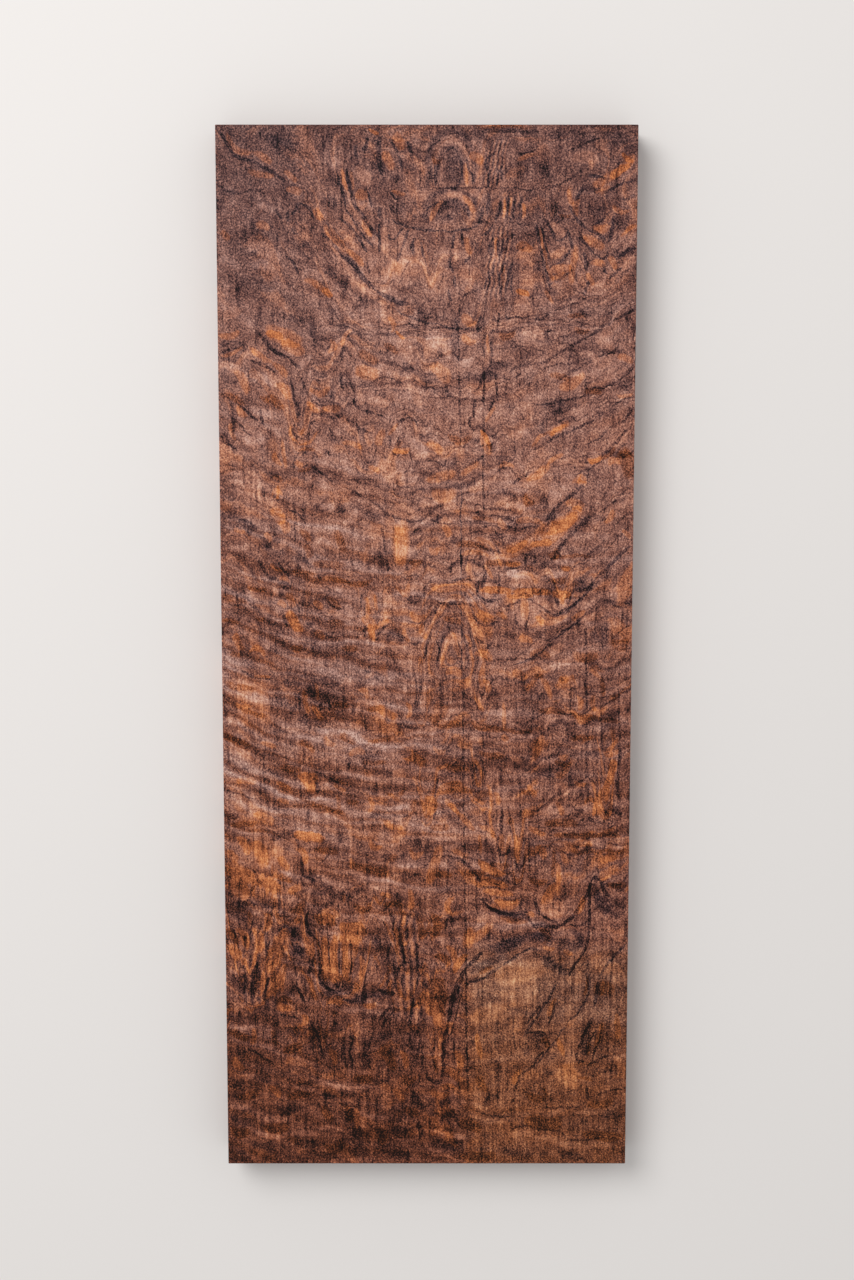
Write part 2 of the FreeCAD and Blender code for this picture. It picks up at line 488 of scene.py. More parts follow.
lay(line, [
    (0.9, 3, 270, 20, 270, 40, 270), (0.7, 40, 270, 52, 270, 62, 268), (0.9, 67, 270, 77, 273, 89, 280),
    (0.8, 50, 289, 55, 289, 62, 292), (0.6, 42, 198, 57, 198, 72, 201.5, 80, 204, 92, 209),
    (0.8, 20, 209, 26, 212, 33, 214), (0.8, 6, 213, 8, 217, 10, 222), (0.8, 80, 290, 89, 294, 99, 298),
    (1.6, 28, 302, 46, 301.5, 64, 301), (0.8, 24, 252, 32, 251, 38, 250), (0.9, 50, 251, 55, 250, 60, 250),
])
lay(shade, [
    (4.6, 15, 291, 15, 281, 15, 270), (4, 6, 255, 14, 262, 23, 255), (2.4, 25, 262, 28, 262, 31, 260),
    (2.8, 25, 240, 28, 237, 32, 234), (3, 86, 269, 91, 270, 97, 267), (3.2, 91, 260, 96, 256, 101, 261),
    (4.5, 106, 252, 113, 250, 119, 253), (3, 108, 234, 113, 234, 119, 237), (4, 66, 300, 80, 299, 97, 297),
    (3, 67, 292, 67, 283, 69, 274), (5, 100, 303, 108, 297, 116, 292), (2.4, 84, 228, 84, 224, 86, 219),
    (4, 104, 237, 108, 231, 112, 224), (3, 20, 297, 27, 299, 36, 297), (5, 72, 261, 74, 256, 76, 250),
])
lay(rust, [
    (1.4, 75, 255, 78, 254, 82, 254), (1.2, 60, 303, 45, 304, 28, 303), (2, 3, 288, 6, 284, 9, 286),
])
lay(amber, [
    (1, 20, 305, 36, 305, 60, 305), (1.5, 22, 284, 22, 276, 23, 271), (3, 24, 289, 28, 287, 32, 284),
    (1.6, 51, 285, 56, 287, 61, 289), (1.8, 2, 251, 5, 257, 9, 263), (2, 20, 266, 24, 262, 27, 256),
    (2.2, 22, 243, 23, 238, 25, 233), (0.9, 44, 264, 44, 258, 43, 253),
    (0.8, 47.5, 265, 47.5, 260, 46.5, 254), (1.3, 54, 262, 55, 258, 54, 253),
    (0.8, 44.5, 227, 43, 221, 44, 214), (0.8, 40, 243, 39, 237, 39, 231), (0.8, 48, 243, 45, 236, 44, 230),
    (3.2, 51, 239, 56, 237, 60, 235), (1, 64, 248, 66, 238, 68, 229), (1.2, 68, 229, 70, 222, 73, 216),
    (3.4, 70, 224, 76, 225, 83, 225), (2.4, 71, 219, 75, 220, 80, 222), (1.8, 80, 270, 81, 265, 83, 260),
    (3, 94, 248, 99, 247, 104, 248), (3, 89, 243, 95, 240, 101, 236), (2.6, 93, 228, 97, 229, 101, 226),
    (2, 91, 222, 93, 219, 95, 216), (3.4, 94, 271, 102, 275, 110, 280), (3.2, 108, 279, 113, 283, 118, 288),
    (2, 95, 267, 99, 268, 104, 271), (2, 105, 260, 110, 257, 115, 257), (1.5, 110, 243, 114, 246, 119, 250),
    (2.4, 82, 216, 84, 232, 85, 238), (1.4, 68, 213, 70, 209, 72, 205), (2, 86, 264, 84, 258, 85, 254),
    (2.4, 103, 232, 106, 229, 108, 225),
])
lay(glow, [
    (2, 51, 213, 55, 212, 59, 210), (2.4, 104, 275, 109, 280, 115, 283),
    (1.6, 110, 289, 113, 286, 117, 284),
])
lay(tan, [
    (1, 8, 285, 8, 278, 8, 272), (2.6, 71, 250, 75, 246, 79, 243), (2.8, 70, 232, 75, 234, 80, 236),
    (5, 18, 224, 25, 222, 31, 220), (5, 2, 222, 6, 217, 10, 212), (1.6, 17, 243, 17, 236, 16, 229),
    (4, 82, 287, 90, 287, 97, 285), (2, 11, 268, 16, 267, 20, 267), (2.4, 110, 224, 114, 228, 118, 232),
])

# Below the head, left: a heavy dark stroke that falls to the right, with amber above it and pale rolls
# below.
lay(ink, [
    (1.65, -98, 190, -92, 184, -87, 179), (1.55, -88, 180, -84, 177, -79, 175),
    (1.1, -91, 182, -86, 178, -81, 176), (1.15, -80, 176, -76, 172, -72, 169),
    (1, -78, 162, -77, 157, -76, 151), (1.45, -77, 152, -74, 147, -74, 140),
    (1.05, -72, 164, -70, 158, -67, 153), (1.15, -67, 153, -64, 149, -57, 148.5),
    (1.1, -76, 138, -76, 132, -72, 129), (1.1, -73, 129, -69, 130, -67, 134),
    (0.9, -67, 134, -67, 137, -64, 139), (0.95, -76, 120, -76, 116, -77, 112),
    (0.9, -54, 176, -52, 173, -49, 173), (1, -49, 173, -48, 177, -48, 181),
    (0.95, -46, 186, -44, 188, -41, 190), (1.1, -40, 190, -37, 186, -28, 181),
    (1.1, -65, 186, -64, 183, -64, 180), (1.05, -49, 167, -49, 161, -48, 156),
    (1, -42, 152, -40, 148, -37, 145.5), (0.9, -37, 145.5, -32, 144, -25, 141),
    (1, -21, 131, -21, 127, -22, 123), (1.05, -17, 135, -15, 139, -10, 141),
    (1.2, -11, 141, -8, 140, -5, 136), (0.95, -20, 121, -18, 120, -15, 120),
    (0.9, -75, 120, -72, 121, -69, 121), (0.95, -96, 147, -95, 141, -94, 135),
    (0.9, -112, 141, -106, 135, -100, 130), (0.9, -119, 128, -114, 126, -109, 122),
    (1.05, -109, 149, -104, 145, -97, 139), (1.2, -10, 196, -8, 193, -4, 191),
])
lay(line, [
    (1.2, -101, 174, -94, 171, -85, 164), (0.9, -68, 115, -62, 110, -52, 104),
    (0.8, -41, 158, -38, 159, -32, 158.5), (0.9, -119, 176, -112, 180, -104, 178),
    (0.8, -112, 150, -112, 141, -111, 132), (0.9, -57, 135, -54, 132, -53, 130),
    (0.9, -60, 123, -57, 121, -55, 118), (0.9, -44, 139, -38, 135, -30, 132),
])
lay(shade, [
    (2.2, -119, 182, -112, 183, -104, 181), (2.4, -119, 167, -113, 162, -108, 160),
    (2.4, -50, 161, -45, 160, -41, 158), (3.2, -66, 172, -62, 168, -57, 166),
    (2.4, -57, 132, -54, 129, -50, 127), (2.5, -61, 143, -56, 142, -50, 141),
    (1.8, -14, 168, -16, 161, -19, 154), (2.6, -14, 172, -11, 170, -9, 165),
    (1.8, -37, 116, -36, 112, -36, 108), (3, -80, 197, -76, 197, -70, 195),
    (3, -44, 196, -47, 193, -50, 188), (2, -66, 122, -64, 118, -62, 114),
    (4, -106, 119, -98, 115, -92, 112), (3, -28, 154, -24, 153, -20, 152),
    (2.4, -44, 137, -39, 134, -33, 132), (3, -96, 124, -94, 119, -91, 116),
    (3, -58, 156, -54, 154, -50, 153),
])
lay(rust, [
    (2.2, -119, 154, -111, 152, -104, 148), (1.6, -96, 153, -93, 151, -90, 149),
    (2.2, -74, 134, -72, 133, -70, 134), (1.6, -74, 122, -69, 123, -64, 123),
    (1.5, -75, 111, -71, 111, -66, 112), (2.2, -89, 108, -86, 106, -83, 104),
    (3.4, -39, 179, -35, 176, -28, 172), (3, -92, 154, -87, 150, -82, 146),
    (2, -24, 183, -20, 180, -16, 177),
])
lay(amber, [
    (2.5, -119, 188, -114, 187, -107, 190), (1.4, -118, 176, -112, 177, -105, 181),
    (5.5, -92, 192, -82, 187, -71, 183), (4, -84, 184, -77, 181, -70, 177),
    (2.2, -101, 181, -95, 176, -88, 172), (2.2, -88, 172, -84, 169, -80, 164),
    (3, -110, 168, -105, 162, -103, 154), (3.4, -87, 160, -81, 157, -78, 152),
    (2.8, -67, 158, -62, 155, -55, 158), (2, -69, 150, -66, 147, -62, 144),
    (1, -78, 137, -78, 131, -74, 127), (1.1, -74, 126, -68, 127, -63, 133),
    (2, -76, 117, -74, 115, -71, 113), (1.6, -83, 128, -82, 120, -81, 112),
    (2, -88, 121, -87, 117, -84, 114), (2.4, -54, 185, -53, 181, -56, 177),
    (1.5, -49, 181, -47, 187, -43, 191), (4.5, -41, 168, -34, 166, -27, 165),
    (2.8, -25, 134, -27, 129, -29, 125), (1.3, -22, 131, -19, 134, -16, 138),
    (1.8, -20, 122, -14, 122, -9, 123), (2, -34, 113, -30, 112, -27, 109),
    (1.8, -49, 127, -43, 126, -37, 123), (1.8, -22, 198, -19, 194, -20, 189),
    (2.6, -108, 149, -107, 144, -103, 141), (1.6, -113, 138, -112, 132, -110, 128),
    (2.4, -60, 147, -54, 146, -49, 147),
])
lay(glow, [
    (2.6, -92, 189, -87, 188, -82, 186), (1.4, -20, 122, -15, 121, -11, 121),
    (1.2, -18, 190, -16, 188, -13, 186),
])
lay(tan, [
    (2.2, -40, 156, -38, 153, -36, 149), (3.5, -34, 151, -28, 150, -22, 148),
    (2, -110, 148, -107, 145, -103, 142), (5, -16, 186, -10, 178, -6, 172), (3, -10, 160, -6, 152, -4, 146),
    (2.4, -94, 182, -98, 178, -102, 181),
])
lay(crest, [
    (3.2, -101, 147, -93, 143, -84, 141), (2.4, -119, 171, -112, 170, -106, 167),
    (2, -98, 167, -92, 163, -86, 158), (2.5, -105, 128, -99, 126, -93, 130),
    (2.2, -94, 137, -88, 134, -84, 130), (4, -20, 108, -12, 108, -4, 110), (3, -8, 130, -4, 124, 0, 118),
    (3, -70, 106, -62, 104, -56, 101), (2.2, -74, 168, -70, 172, -66, 176),
])

# Below the head, right: ring lines that sweep up to the edge, and long upright hairlines near the middle.
lay(ink, [
    (1.1, 93, 188, 100, 192, 107, 196), (1, 106, 196, 112, 198.5, 119, 203),
    (1.45, 99, 178.5, 105, 178, 112, 179), (0.9, 66, 188, 69, 190, 72, 191),
    (0.95, 91, 157, 96, 158, 102, 157.5), (0.9, 91, 163, 91, 158, 90, 153), (1, 70, 128, 76, 131, 83, 133),
    (1, 83, 133, 89, 136, 97, 139), (1.05, 104, 121, 108, 126, 113, 132), (1, 112, 131, 115, 134, 119, 138),
    (1.15, 31, 198, 29, 194, 30, 189), (1.05, 41, 201, 41, 196, 40, 191), (0.9, 16, 198, 17, 194, 18, 190),
    (1.05, 37, 184, 36.5, 178, 37, 171), (0.95, 40, 167, 40, 159, 40.5, 151),
    (0.95, 30, 164, 30, 158, 26, 155), (1, 33.5, 159, 33, 155, 32, 150), (0.95, 35, 145, 37, 148, 39, 152),
    (1.05, 28, 151, 27, 145, 27, 141), (1.2, 24.5, 142, 24.5, 139, 25, 135),
    (1.15, 36, 128, 37, 125, 38, 121), (0.9, 49, 103, 55, 107, 61, 111), (0.95, 22, 112, 28, 116, 33, 120),
])
lay(line, [
    (1, 47, 166, 52, 170, 60, 171.5), (1, 60, 171.5, 67, 173, 75, 178), (1, 75, 178, 84, 182, 94, 188.5),
    (0.8, 40, 196, 48, 197.5, 58, 197), (0.8, 58, 197, 64, 197, 71, 201), (0.9, 75, 161, 81, 166, 89, 170),
    (0.9, 62, 148, 71, 149, 83, 152), (0.8, 101, 158, 109, 161.5, 119, 170),
    (0.9, 106, 147, 111, 150.5, 119, 152.5), (0.9, 61, 122, 67, 126, 72, 129),
    (0.9, 92, 126, 99, 129.5, 105, 135), (0.9, 105, 135, 111, 138, 119, 147),
    (0.8, 18.5, 206, 18.2, 190, 18.5, 168), (0.8, 18.5, 168, 19, 150, 19.3, 120),
    (0.8, 32.5, 173, 32.5, 160, 33, 147), (0.8, 33, 148, 32.5, 130, 32.8, 98),
    (0.8, 34, 191, 33, 184, 33, 177), (0.9, 40, 137, 45, 136, 51, 134), (0.8, 0, 191, 9, 191.5, 18, 191),
    (0.8, 20, 191.5, 26, 191, 32, 192), (0.8, 0, 116, 6, 115.5, 11, 113), (0.8, 86, 141, 80, 141, 76, 139),
    (0.9, 40, 115, 47, 116, 51, 119), (0.8, 78, 150, 89, 153, 99, 154), (0.8, 98, 175, 104, 177, 110, 182),
    (0.7, 86, 108, 94, 112, 102, 117),
])
lay(shade, [
    (2, 67, 190, 69, 185, 71, 180), (2.6, 15, 196, 16, 184, 17, 170), (3, 30, 200, 31, 195, 30, 189),
    (1.8, 31, 167, 35, 166, 42, 166), (2.2, 10, 155, 13, 154, 16, 153), (2.6, 97, 144, 102, 143, 109, 147),
    (2.2, 66, 139, 66, 135, 68, 131), (2.2, 70, 142, 74, 144, 79, 141), (2.2, 34, 127, 37, 125, 40, 122),
    (2.2, 23, 129, 27, 128, 31, 127), (3.2, 0, 158, 7, 156, 14, 154), (3.2, 7, 117, 13, 115, 19, 117),
    (2, 40, 118, 45, 118, 50, 116), (3.5, 42, 188, 47, 184, 52, 180), (3, 44, 149, 47, 148, 49, 144),
    (2.4, 36, 150, 37, 145, 38, 140), (4, 66, 149, 74, 148, 82, 146), (3, 110, 159, 114, 158, 118, 160),
    (2, 37, 136, 38, 132, 39, 128),
])
lay(rust, [
    (1.8, 80, 199, 85, 199, 91, 197), (1.6, 100, 117, 104, 119, 109, 124),
    (2.6, 109, 119, 114, 120, 119, 119), (2.8, 12, 131, 18, 128, 26, 130), (2.8, 41, 188, 46, 187, 51, 189),
    (2, 70, 165, 76, 164, 82, 163), (2, 84, 192, 88, 190, 93, 191), (5, 112, 124, 116, 116, 117, 106),
    (2.2, 90, 156, 95, 156, 100, 155),
])
lay(amber, [
    (2.4, 109, 176, 113, 175, 118, 172), (3.6, 76, 157, 82, 160, 90, 166),
    (1.4, 109, 154, 114, 153, 118, 155), (2.8, 70, 131, 75, 134, 82, 139), (2, 92, 117, 96, 116, 101, 119),
    (1.6, 69, 114, 74, 118, 79, 120), (3, 57, 105, 63, 108, 71, 114), (1.8, 41, 112, 46, 115, 50, 112),
    (3.6, 20, 199, 24, 196, 28, 193), (1, 35, 188, 35, 182, 36, 177), (1.4, 34, 138, 36, 142, 39, 147),
    (3, 32, 132, 34, 126, 37, 120), (3.4, 0, 127, 4, 125, 9, 121), (4.5, 2, 172, 7, 168, 13, 161),
    (3.4, 0, 105, 8, 107, 17, 110), (2.4, 20, 108, 25, 112, 30, 116), (1.6, 89, 108, 92, 112, 92, 104),
    (1.2, 60, 124, 66, 130, 70, 133), (3, 84, 104, 88, 106, 92, 102), (2.6, 104, 114, 108, 117, 112, 115),
    (2.2, 20, 188, 24, 184, 28, 183),
])
lay(glow, [
    (1.6, 71, 131, 75, 134, 80, 137), (1.6, 31, 134, 34, 129, 37, 123), (1.6, 93, 116, 97, 116, 100, 118),
])
lay(tan, [
    (4.5, 43, 135, 50, 132, 57, 135), (4, 52, 150, 57, 146, 60, 140), (4, 54, 190, 60, 190, 67, 187),
    (3, 20, 187, 25, 186, 30, 184), (3, 6, 187, 10, 182, 12, 176), (2.2, 93, 177, 96, 175, 98, 171),
])
lay(crest, [
    (6, 0, 187, 7, 184, 14, 180), (3, 16, 176, 22, 172, 28, 176), (2.4, 30, 110, 36, 109, 42, 112),
])

# Above the middle, left: rolls of curl begin, with a thin line that dips to the middle and two amber
# flames.
lay(ink, [
    (1.2, -94.5, 101, -94, 98, -94, 95), (0.95, -26, 78, -25, 70, -24, 62),
    (0.95, -24, 62, -23, 58, -22, 52), (1.05, -97, 59, -95, 54, -92, 50), (1.25, -93, 51, -91, 49, -87, 48),
    (0.9, -87, 58, -84, 54, -80, 50), (1.15, -83, 28, -83, 24, -81, 20), (1.3, -70, 23, -68, 22, -67, 20),
    (0.9, -76, 34, -75, 31, -74, 28), (1.05, -36, 21, -36, 17, -34, 12), (0.95, -29, 12, -27, 17, -23, 21),
    (0.9, -38, 40, -38, 35, -39, 29), (1.15, -15, 15, -13, 13, -11, 12), (1.25, -9, 11, -7, 10, -4, 11),
    (1.15, -63, 51, -62, 49, -60, 48), (1.05, -60, 38, -55, 33, -48, 30), (0.95, -2, 1, -1, 4, 0, 8),
    (1.1, -72, 61, -71, 59, -69, 58),
])
lay(line, [
    (0.9, -48, 101, -40, 97.5, -34, 94.5), (0.9, -34, 94.5, -27, 90, -21, 85),
    (0.8, -21, 85, -12, 82, 0, 82.5), (0.9, -77, 92, -76, 80, -76, 68), (0.8, -112, 84, -105, 82, -98, 76),
    (0.7, -110, 40, -110, 32, -109, 20), (0.8, -90, 58, -87, 54, -84, 50), (0.8, -80, 88, -74, 85, -70, 80),
])
lay(shade, [
    (1.8, -71, 93, -71, 84, -71, 76), (2.6, -53, 96, -50, 90, -48, 85), (2.6, -86, 47, -83, 45, -80, 42),
    (3.2, -89, 23, -86, 18, -84, 13), (4.5, -91, 8, -84, 8, -77, 6), (2.2, -105, 37, -100, 35, -94, 33),
    (4.2, -24, 11, -19, 16, -14, 11), (3, -12, 94, -7, 91, -3, 94), (2.6, -27, 64, -26, 58, -24, 52),
    (2.4, -97, 68, -94, 66, -90, 68), (4, -110, 82, -105, 78, -100, 76), (2.6, -38, 86, -32, 84, -27, 85),
    (2.4, -8, 74, -5, 76, -2, 73), (2.5, -11, 37, -7, 36, -2, 38), (2.4, -72, 36, -71, 33, -70, 30),
])
lay(rust, [
    (2.4, -73, 77, -70, 73, -67, 70), (3, -53, 77, -50, 70, -48, 64), (2.6, -67, 57, -58, 56.5, -47, 56),
    (1.8, -78, 53, -70, 52, -65, 51), (1.8, -64, 49, -55, 47.5, -45, 46), (2.2, -47, 46, -40, 45, -31, 48),
    (2.3, -119, 38, -112, 36, -104, 34), (3, -59, 37, -54, 34, -50, 31), (1.8, -59, 23, -53, 23, -47, 22),
    (2.2, -50, 8.5, -45, 8, -40, 8), (1.6, -105, 44, -100, 42, -93, 42), (2, -115, 4, -112, 4, -108, 3),
    (1.6, -94, 25, -97, 24, -100, 25), (2, -10, 58, -6, 57, -2, 58), (3, -70, 68, -68, 64, -68, 60),
    (1.6, -119, 24, -112, 23, -108, 22), (2.4, -79, 8, -76, 7, -72, 9),
])
lay(amber, [
    (4, -89, 89, -86, 85, -83, 80), (3.4, -85, 82, -82, 79, -81, 74), (1.7, -91, 57, -88, 54, -84, 52),
    (1.6, -86, 48, -81, 48, -79, 46), (2, -87, 35, -84, 34, -82, 32), (2.4, -80, 41, -79, 36, -78, 31),
    (3.6, -82, 30, -78, 24, -72, 17), (1.6, -36, 38, -34, 32, -35, 25), (1.1, -30, 39, -29.5, 34, -29, 29),
    (3.4, -37, 26, -33, 22, -30, 17), (2.2, -33, 21, -32, 16, -31, 11), (1.8, -30, 19, -26, 22, -22, 24),
    (1.9, -13, 19, -13, 15, -10, 12), (2.6, -10, 28, -6, 25, 0, 26), (3, -112, 16, -110, 11, -107, 7),
    (2.4, -104, 5, -98, 7, -94, 3), (3, -10, 46, -14, 40, -18, 43), (2, -90, 96, -86, 99, -83, 97),
    (2.2, -66, 35, -63, 33, -60, 31), (2.6, -66, 17, -62, 16, -60, 13), (1.8, -112, 77, -108, 76, -105, 75),
    (2, -95, 74, -92, 73, -90, 70), (6, -14, 82, -15, 70, -15, 56), (2, -3, 22, -2, 17, 0, 13),
])
lay(glow, [
    (1.3, -86, 102, -86, 98, -87, 94), (3.4, -81, 29, -78, 24, -74, 17), (2, -34, 22, -32, 17, -31, 13),
])
lay(tan, [
    (1, -97, 103, -97, 98, -96, 94), (4.5, -20, 89, -13, 87, -7, 85), (4.5, -14, 84, -14, 72, -16, 58),
    (3, -27, 28, -25, 27, -21, 27), (2.6, -90, 92, -86, 90, -82, 89), (2.6, -80, 70, -85, 67, -89, 66),
])
lay(crest, [
    (1.2, -74, 57, -67, 53.5, -59, 52.5), (1.2, -60, 52.5, -49, 52, -37, 51.5),
    (1.5, -61, 46, -55, 43.5, -49, 41), (1.2, -119, 34.5, -114, 31.5, -107, 31.5),
    (2.6, -61, 30, -54, 28, -48, 26), (1.3, -86, 15, -78, 13, -71, 12), (1.3, -58, 16, -49, 14, -41, 10),
    (1.2, -116, 20, -109, 19, -105, 15), (2.4, -115, 66, -108, 66, -102, 68),
    (2.8, -62, 91, -57, 89, -52, 95), (2.4, -48, 80, -44, 82, -40, 88), (2.2, -40, 15, -30, 10, -22, 9),
    (2, -92, 44, -85, 41, -78, 42), (2.4, -119, 12, -113, 10, -109, 6), (2.6, -66, 68, -60, 70, -56, 68),
])

# Above the middle, right: a wide amber tongue that climbs to the right over a dark line, a row of bright
# orange

# flecks in a tan field, and dark outlines that loop round them.
lay(ink, [
    (1.7, 72, 59, 77, 66, 82, 71, 87, 77, 95, 85), (1.25, 69, 82, 73, 87, 79, 93),
    (1.2, 79, 93, 84, 97, 90, 102), (0.95, 54, 76, 58, 78, 63, 78), (0.95, 39, 77, 42, 74, 45, 75),
    (1.15, 28, 87, 31, 85, 33, 82), (0.95, 6, 86, 6, 83, 6, 80), (1.05, 28, 67, 37, 65.5, 44, 63),
    (1.4, 13, 51, 16, 57, 21, 58.5, 27, 58, 34, 53, 33, 47, 31.5, 42), (0.9, 41, 54, 47, 54, 53, 54.5),
    (0.9, 30, 42, 31, 46, 35, 47), (0.9, 35, 47, 38, 46.5, 42, 47), (1.05, 41.5, 52, 41.8, 46, 42, 39),
    (1, 30, 43, 30, 38, 33, 36.5), (0.95, 33, 36, 37, 35.5, 41, 36.5), (1.65, 54, 38, 57.5, 39, 61, 37),
    (0.9, 46, 32, 50, 33.5, 54, 36), (0.95, 56, 36, 60, 36, 64, 33), (1, 64, 33, 68, 31, 72, 28),
    (1.15, 71, 28, 75, 27, 79, 30), (1, 79, 30, 84, 32, 89, 37), (1.45, 74, 47, 75, 40, 76, 32),
    (1.2, 81, 37, 86, 37, 91, 36), (1.35, 91, 42, 93, 42, 96, 43), (1.25, 7, 34.5, 14, 34, 22, 34),
    (0.9, 21, 34, 24, 33, 27, 32), (1, 26, 28, 29, 24, 33, 20.5), (1, 33, 20.5, 36, 21, 41, 23),
    (1.1, 28, 15, 30, 12, 34, 10), (1, 34, 6, 36, 9, 37, 13), (0.9, 52, 28, 52, 24, 53, 20),
    (0.9, 59, 27, 58, 23, 57, 20), (1.3, 86.5, 22, 87.7, 22, 88.5, 23), (1.2, 57, 56, 57.5, 60, 58, 63),
    (1.1, 62, 56, 63, 60, 63, 63), (1.05, 20, 62, 20, 59, 20, 55),
])
lay(navy, [
    (1.1, 118, 68, 107, 57, 97, 47, 87, 34, 77, 27), (0.8, 90, 25, 80, 17, 71.5, 11.5, 62, 2, 50, -2),
    (0.6, 20, 104, 19.8, 76, 20, 48, 20.2, 22, 20.4, -6),
])
lay(line, [
    (0.8, 0, 83, 9, 80.5, 19, 82), (0.8, 14, 47, 23, 47.5, 31, 46), (0.8, 108, 13, 113, 18, 119, 22),
    (0.8, 99, 86, 107, 92, 116, 101), (0.8, 92, 62, 98, 66, 103, 71), (0.8, 93, 19, 93, 8, 93, -3),
    (0.8, 6, 12, 7, 6, 6, 0), (0.8, 32.8, 102, 33, 95, 33, 88), (0.9, 110, 80, 114, 84, 119, 87),
    (0.8, 106, 36, 111, 32, 118, 33), (0.8, 6, 31, 5, 28, 7, 25),
])
lay(shade, [
    (3.2, 14, 72, 17, 70, 20, 69), (2.6, 72, 55, 76, 56, 81, 58), (2.6, 66, 52, 67, 55, 70, 58),
    (6.5, 93, 12, 99, 16, 104, 7), (2.2, 10.5, 1, 12.5, 7, 15.5, 9.5), (2.2, 15.5, 9.5, 18, 7.5, 19.5, 3),
    (1.5, 5, 26, 7, 15, 6.6, 4), (1.8, 26, 14, 30, 8.5, 35.5, 5.5), (2, 44, 14, 48, 15, 51, 12),
    (2, 51, 19, 60, 19, 67, 16), (5, 84, 46, 89, 44, 92, 49), (4, 24, 78, 29, 75, 34, 78),
    (2.6, 61, 14, 66, 16, 70, 20), (3, 76, 68, 80, 66, 86, 64), (3.4, 36, 72, 40, 74, 45, 72),
    (3, 46, 84, 48, 80, 46, 76), (2.2, 64, 28, 68, 27, 72, 25), (3, 98, 52, 102, 50, 106, 56),
    (2.4, 23, 11, 25, 9, 28, 8), (2.4, 92, 85, 98, 84, 103, 82), (3, 44, 100, 48, 96, 52, 92),
    (3, 62, 100, 66, 96, 68, 91), (2, 78, 88, 72, 84, 70, 78),
])
lay(rust, [
    (1.8, 26, 83, 33, 83, 40, 81), (2.4, 16, 68, 28, 67.5, 37, 66), (2.6, 33, 57, 44, 57.5, 55, 57),
    (1.8, 77, 55, 80, 54, 84, 54), (2, 9, 25, 14, 24, 20, 22), (1.4, 71, 60.5, 84, 61.5, 96, 61),
    (2.4, 72, 80, 74, 79, 77, 78), (3, 76, 66, 74, 62, 70, 61), (2.4, 71, 48, 76, 47, 81, 48),
    (4, 108, 12, 112, 9, 118, 12), (3, 56, 97, 58, 93, 62, 91), (3, 60, 4, 66, 5, 72, 3),
    (4, 84, 4, 92, 2, 100, 3),
])
lay(amber, [
    (5.2, 42, 62, 53, 66, 64, 72), (4.8, 62, 73, 76, 79, 91, 88), (4, 66, 67, 73, 73, 82, 79),
    (2.2, 51, 81, 60, 82.5, 68, 79), (2.5, 41, 83, 43, 80, 46, 77), (1.8, 20, 62, 28, 63.5, 36, 62),
    (3.2, 1, 44, 12, 43, 26, 44), (3.4, 29, 28, 34, 26, 40, 25), (1.3, 22, 16, 25, 12, 26, 8),
    (2.2, 103, 80, 106, 83, 108, 88), (3, 28, 5, 34, 4, 38, 1), (2, 63, 26, 66, 24, 67, 20),
    (1.4, 33, 56, 36, 52, 38, 48), (5, 2, 98, 10, 96, 17, 98), (2.2, 10, 80, 12, 76, 13, 72),
    (2, 84, 24, 88, 27, 92, 30), (2.4, 54, 13, 58, 13, 62, 12), (1.8, 76, 44, 78, 39, 79, 33),
    (3, 80, 92, 86, 92, 91, 90), (2.4, 1, 66, 5, 64, 8, 66), (1.6, 113, 76, 116, 74, 118, 72),
    (2, 40, 28, 44, 27, 47, 25),
])
lay(glow, [
    (2.6, 31, 42, 41, 41.5, 50, 41, 60, 41, 72, 40, 77, 39.5, 84, 38), (1.6, 46, 38.5, 54, 38, 62, 38),
    (1.5, 77, 38.5, 79, 38, 82, 38), (1.8, 46, 57, 50, 56.5, 54, 57), (3.4, 72, 76, 80, 80, 87, 86),
    (2, 84, 89, 87, 89, 90, 87), (1.5, 78, 54.5, 80, 54, 83, 54), (2.4, 46, 64, 52, 66, 58, 70),
    (1.4, 30, 30, 34, 27, 38, 26), (2.4, 60, 68, 66, 69, 72, 69),
])
lay(tan, [
    (4.5, 48, 46, 58, 48, 68, 45), (1.7, 33, 45, 38, 45, 41, 43), (1.6, 32, 38.5, 35, 38, 39, 38),
    (2, 46, 37, 51, 36, 54, 37), (3, 61, 37, 68, 34, 75, 31), (1.8, 76, 33, 79, 33, 82, 32),
    (1.7, 82, 53, 84, 50, 84, 46), (3, 22, 54, 26, 55, 30, 53), (2.6, 89, 24, 96, 26, 103, 28),
    (1.7, 8, -1, 9.5, 10, 14, 16), (1.7, 14, 16, 18.5, 14, 20.5, 7), (1.5, 24.4, 26, 29, 19, 33, 14),
    (1.2, 43, 20, 47, 18, 50, 19), (1.5, 42, 31, 45, 30, 46, 26), (3, 52, 88, 58, 86, 63, 87),
    (3, 10, 92, 14, 90, 18, 86), (2.4, 34, 61, 38, 61, 42, 60), (3.4, 66, 8, 74, 6, 80, 9),
])
lay(crest, [
    (2, 74, 59, 79, 58, 86, 57), (2.4, 66, 53, 72, 51, 79, 51), (3, 46, 51, 53, 51, 58, 50),
    (3, 84, 39, 92, 33, 100, 36), (6, 104, 44, 110, 38, 117, 42), (2.4, 22, 31, 25, 33, 27, 37),
    (2.4, 44, 89, 52, 91, 58, 89), (2, 36, 60, 44, 60, 50, 61), (2.2, 70, 23, 78, 24, 84, 27),
    (2, 30, 33, 36, 33, 42, 33),
])

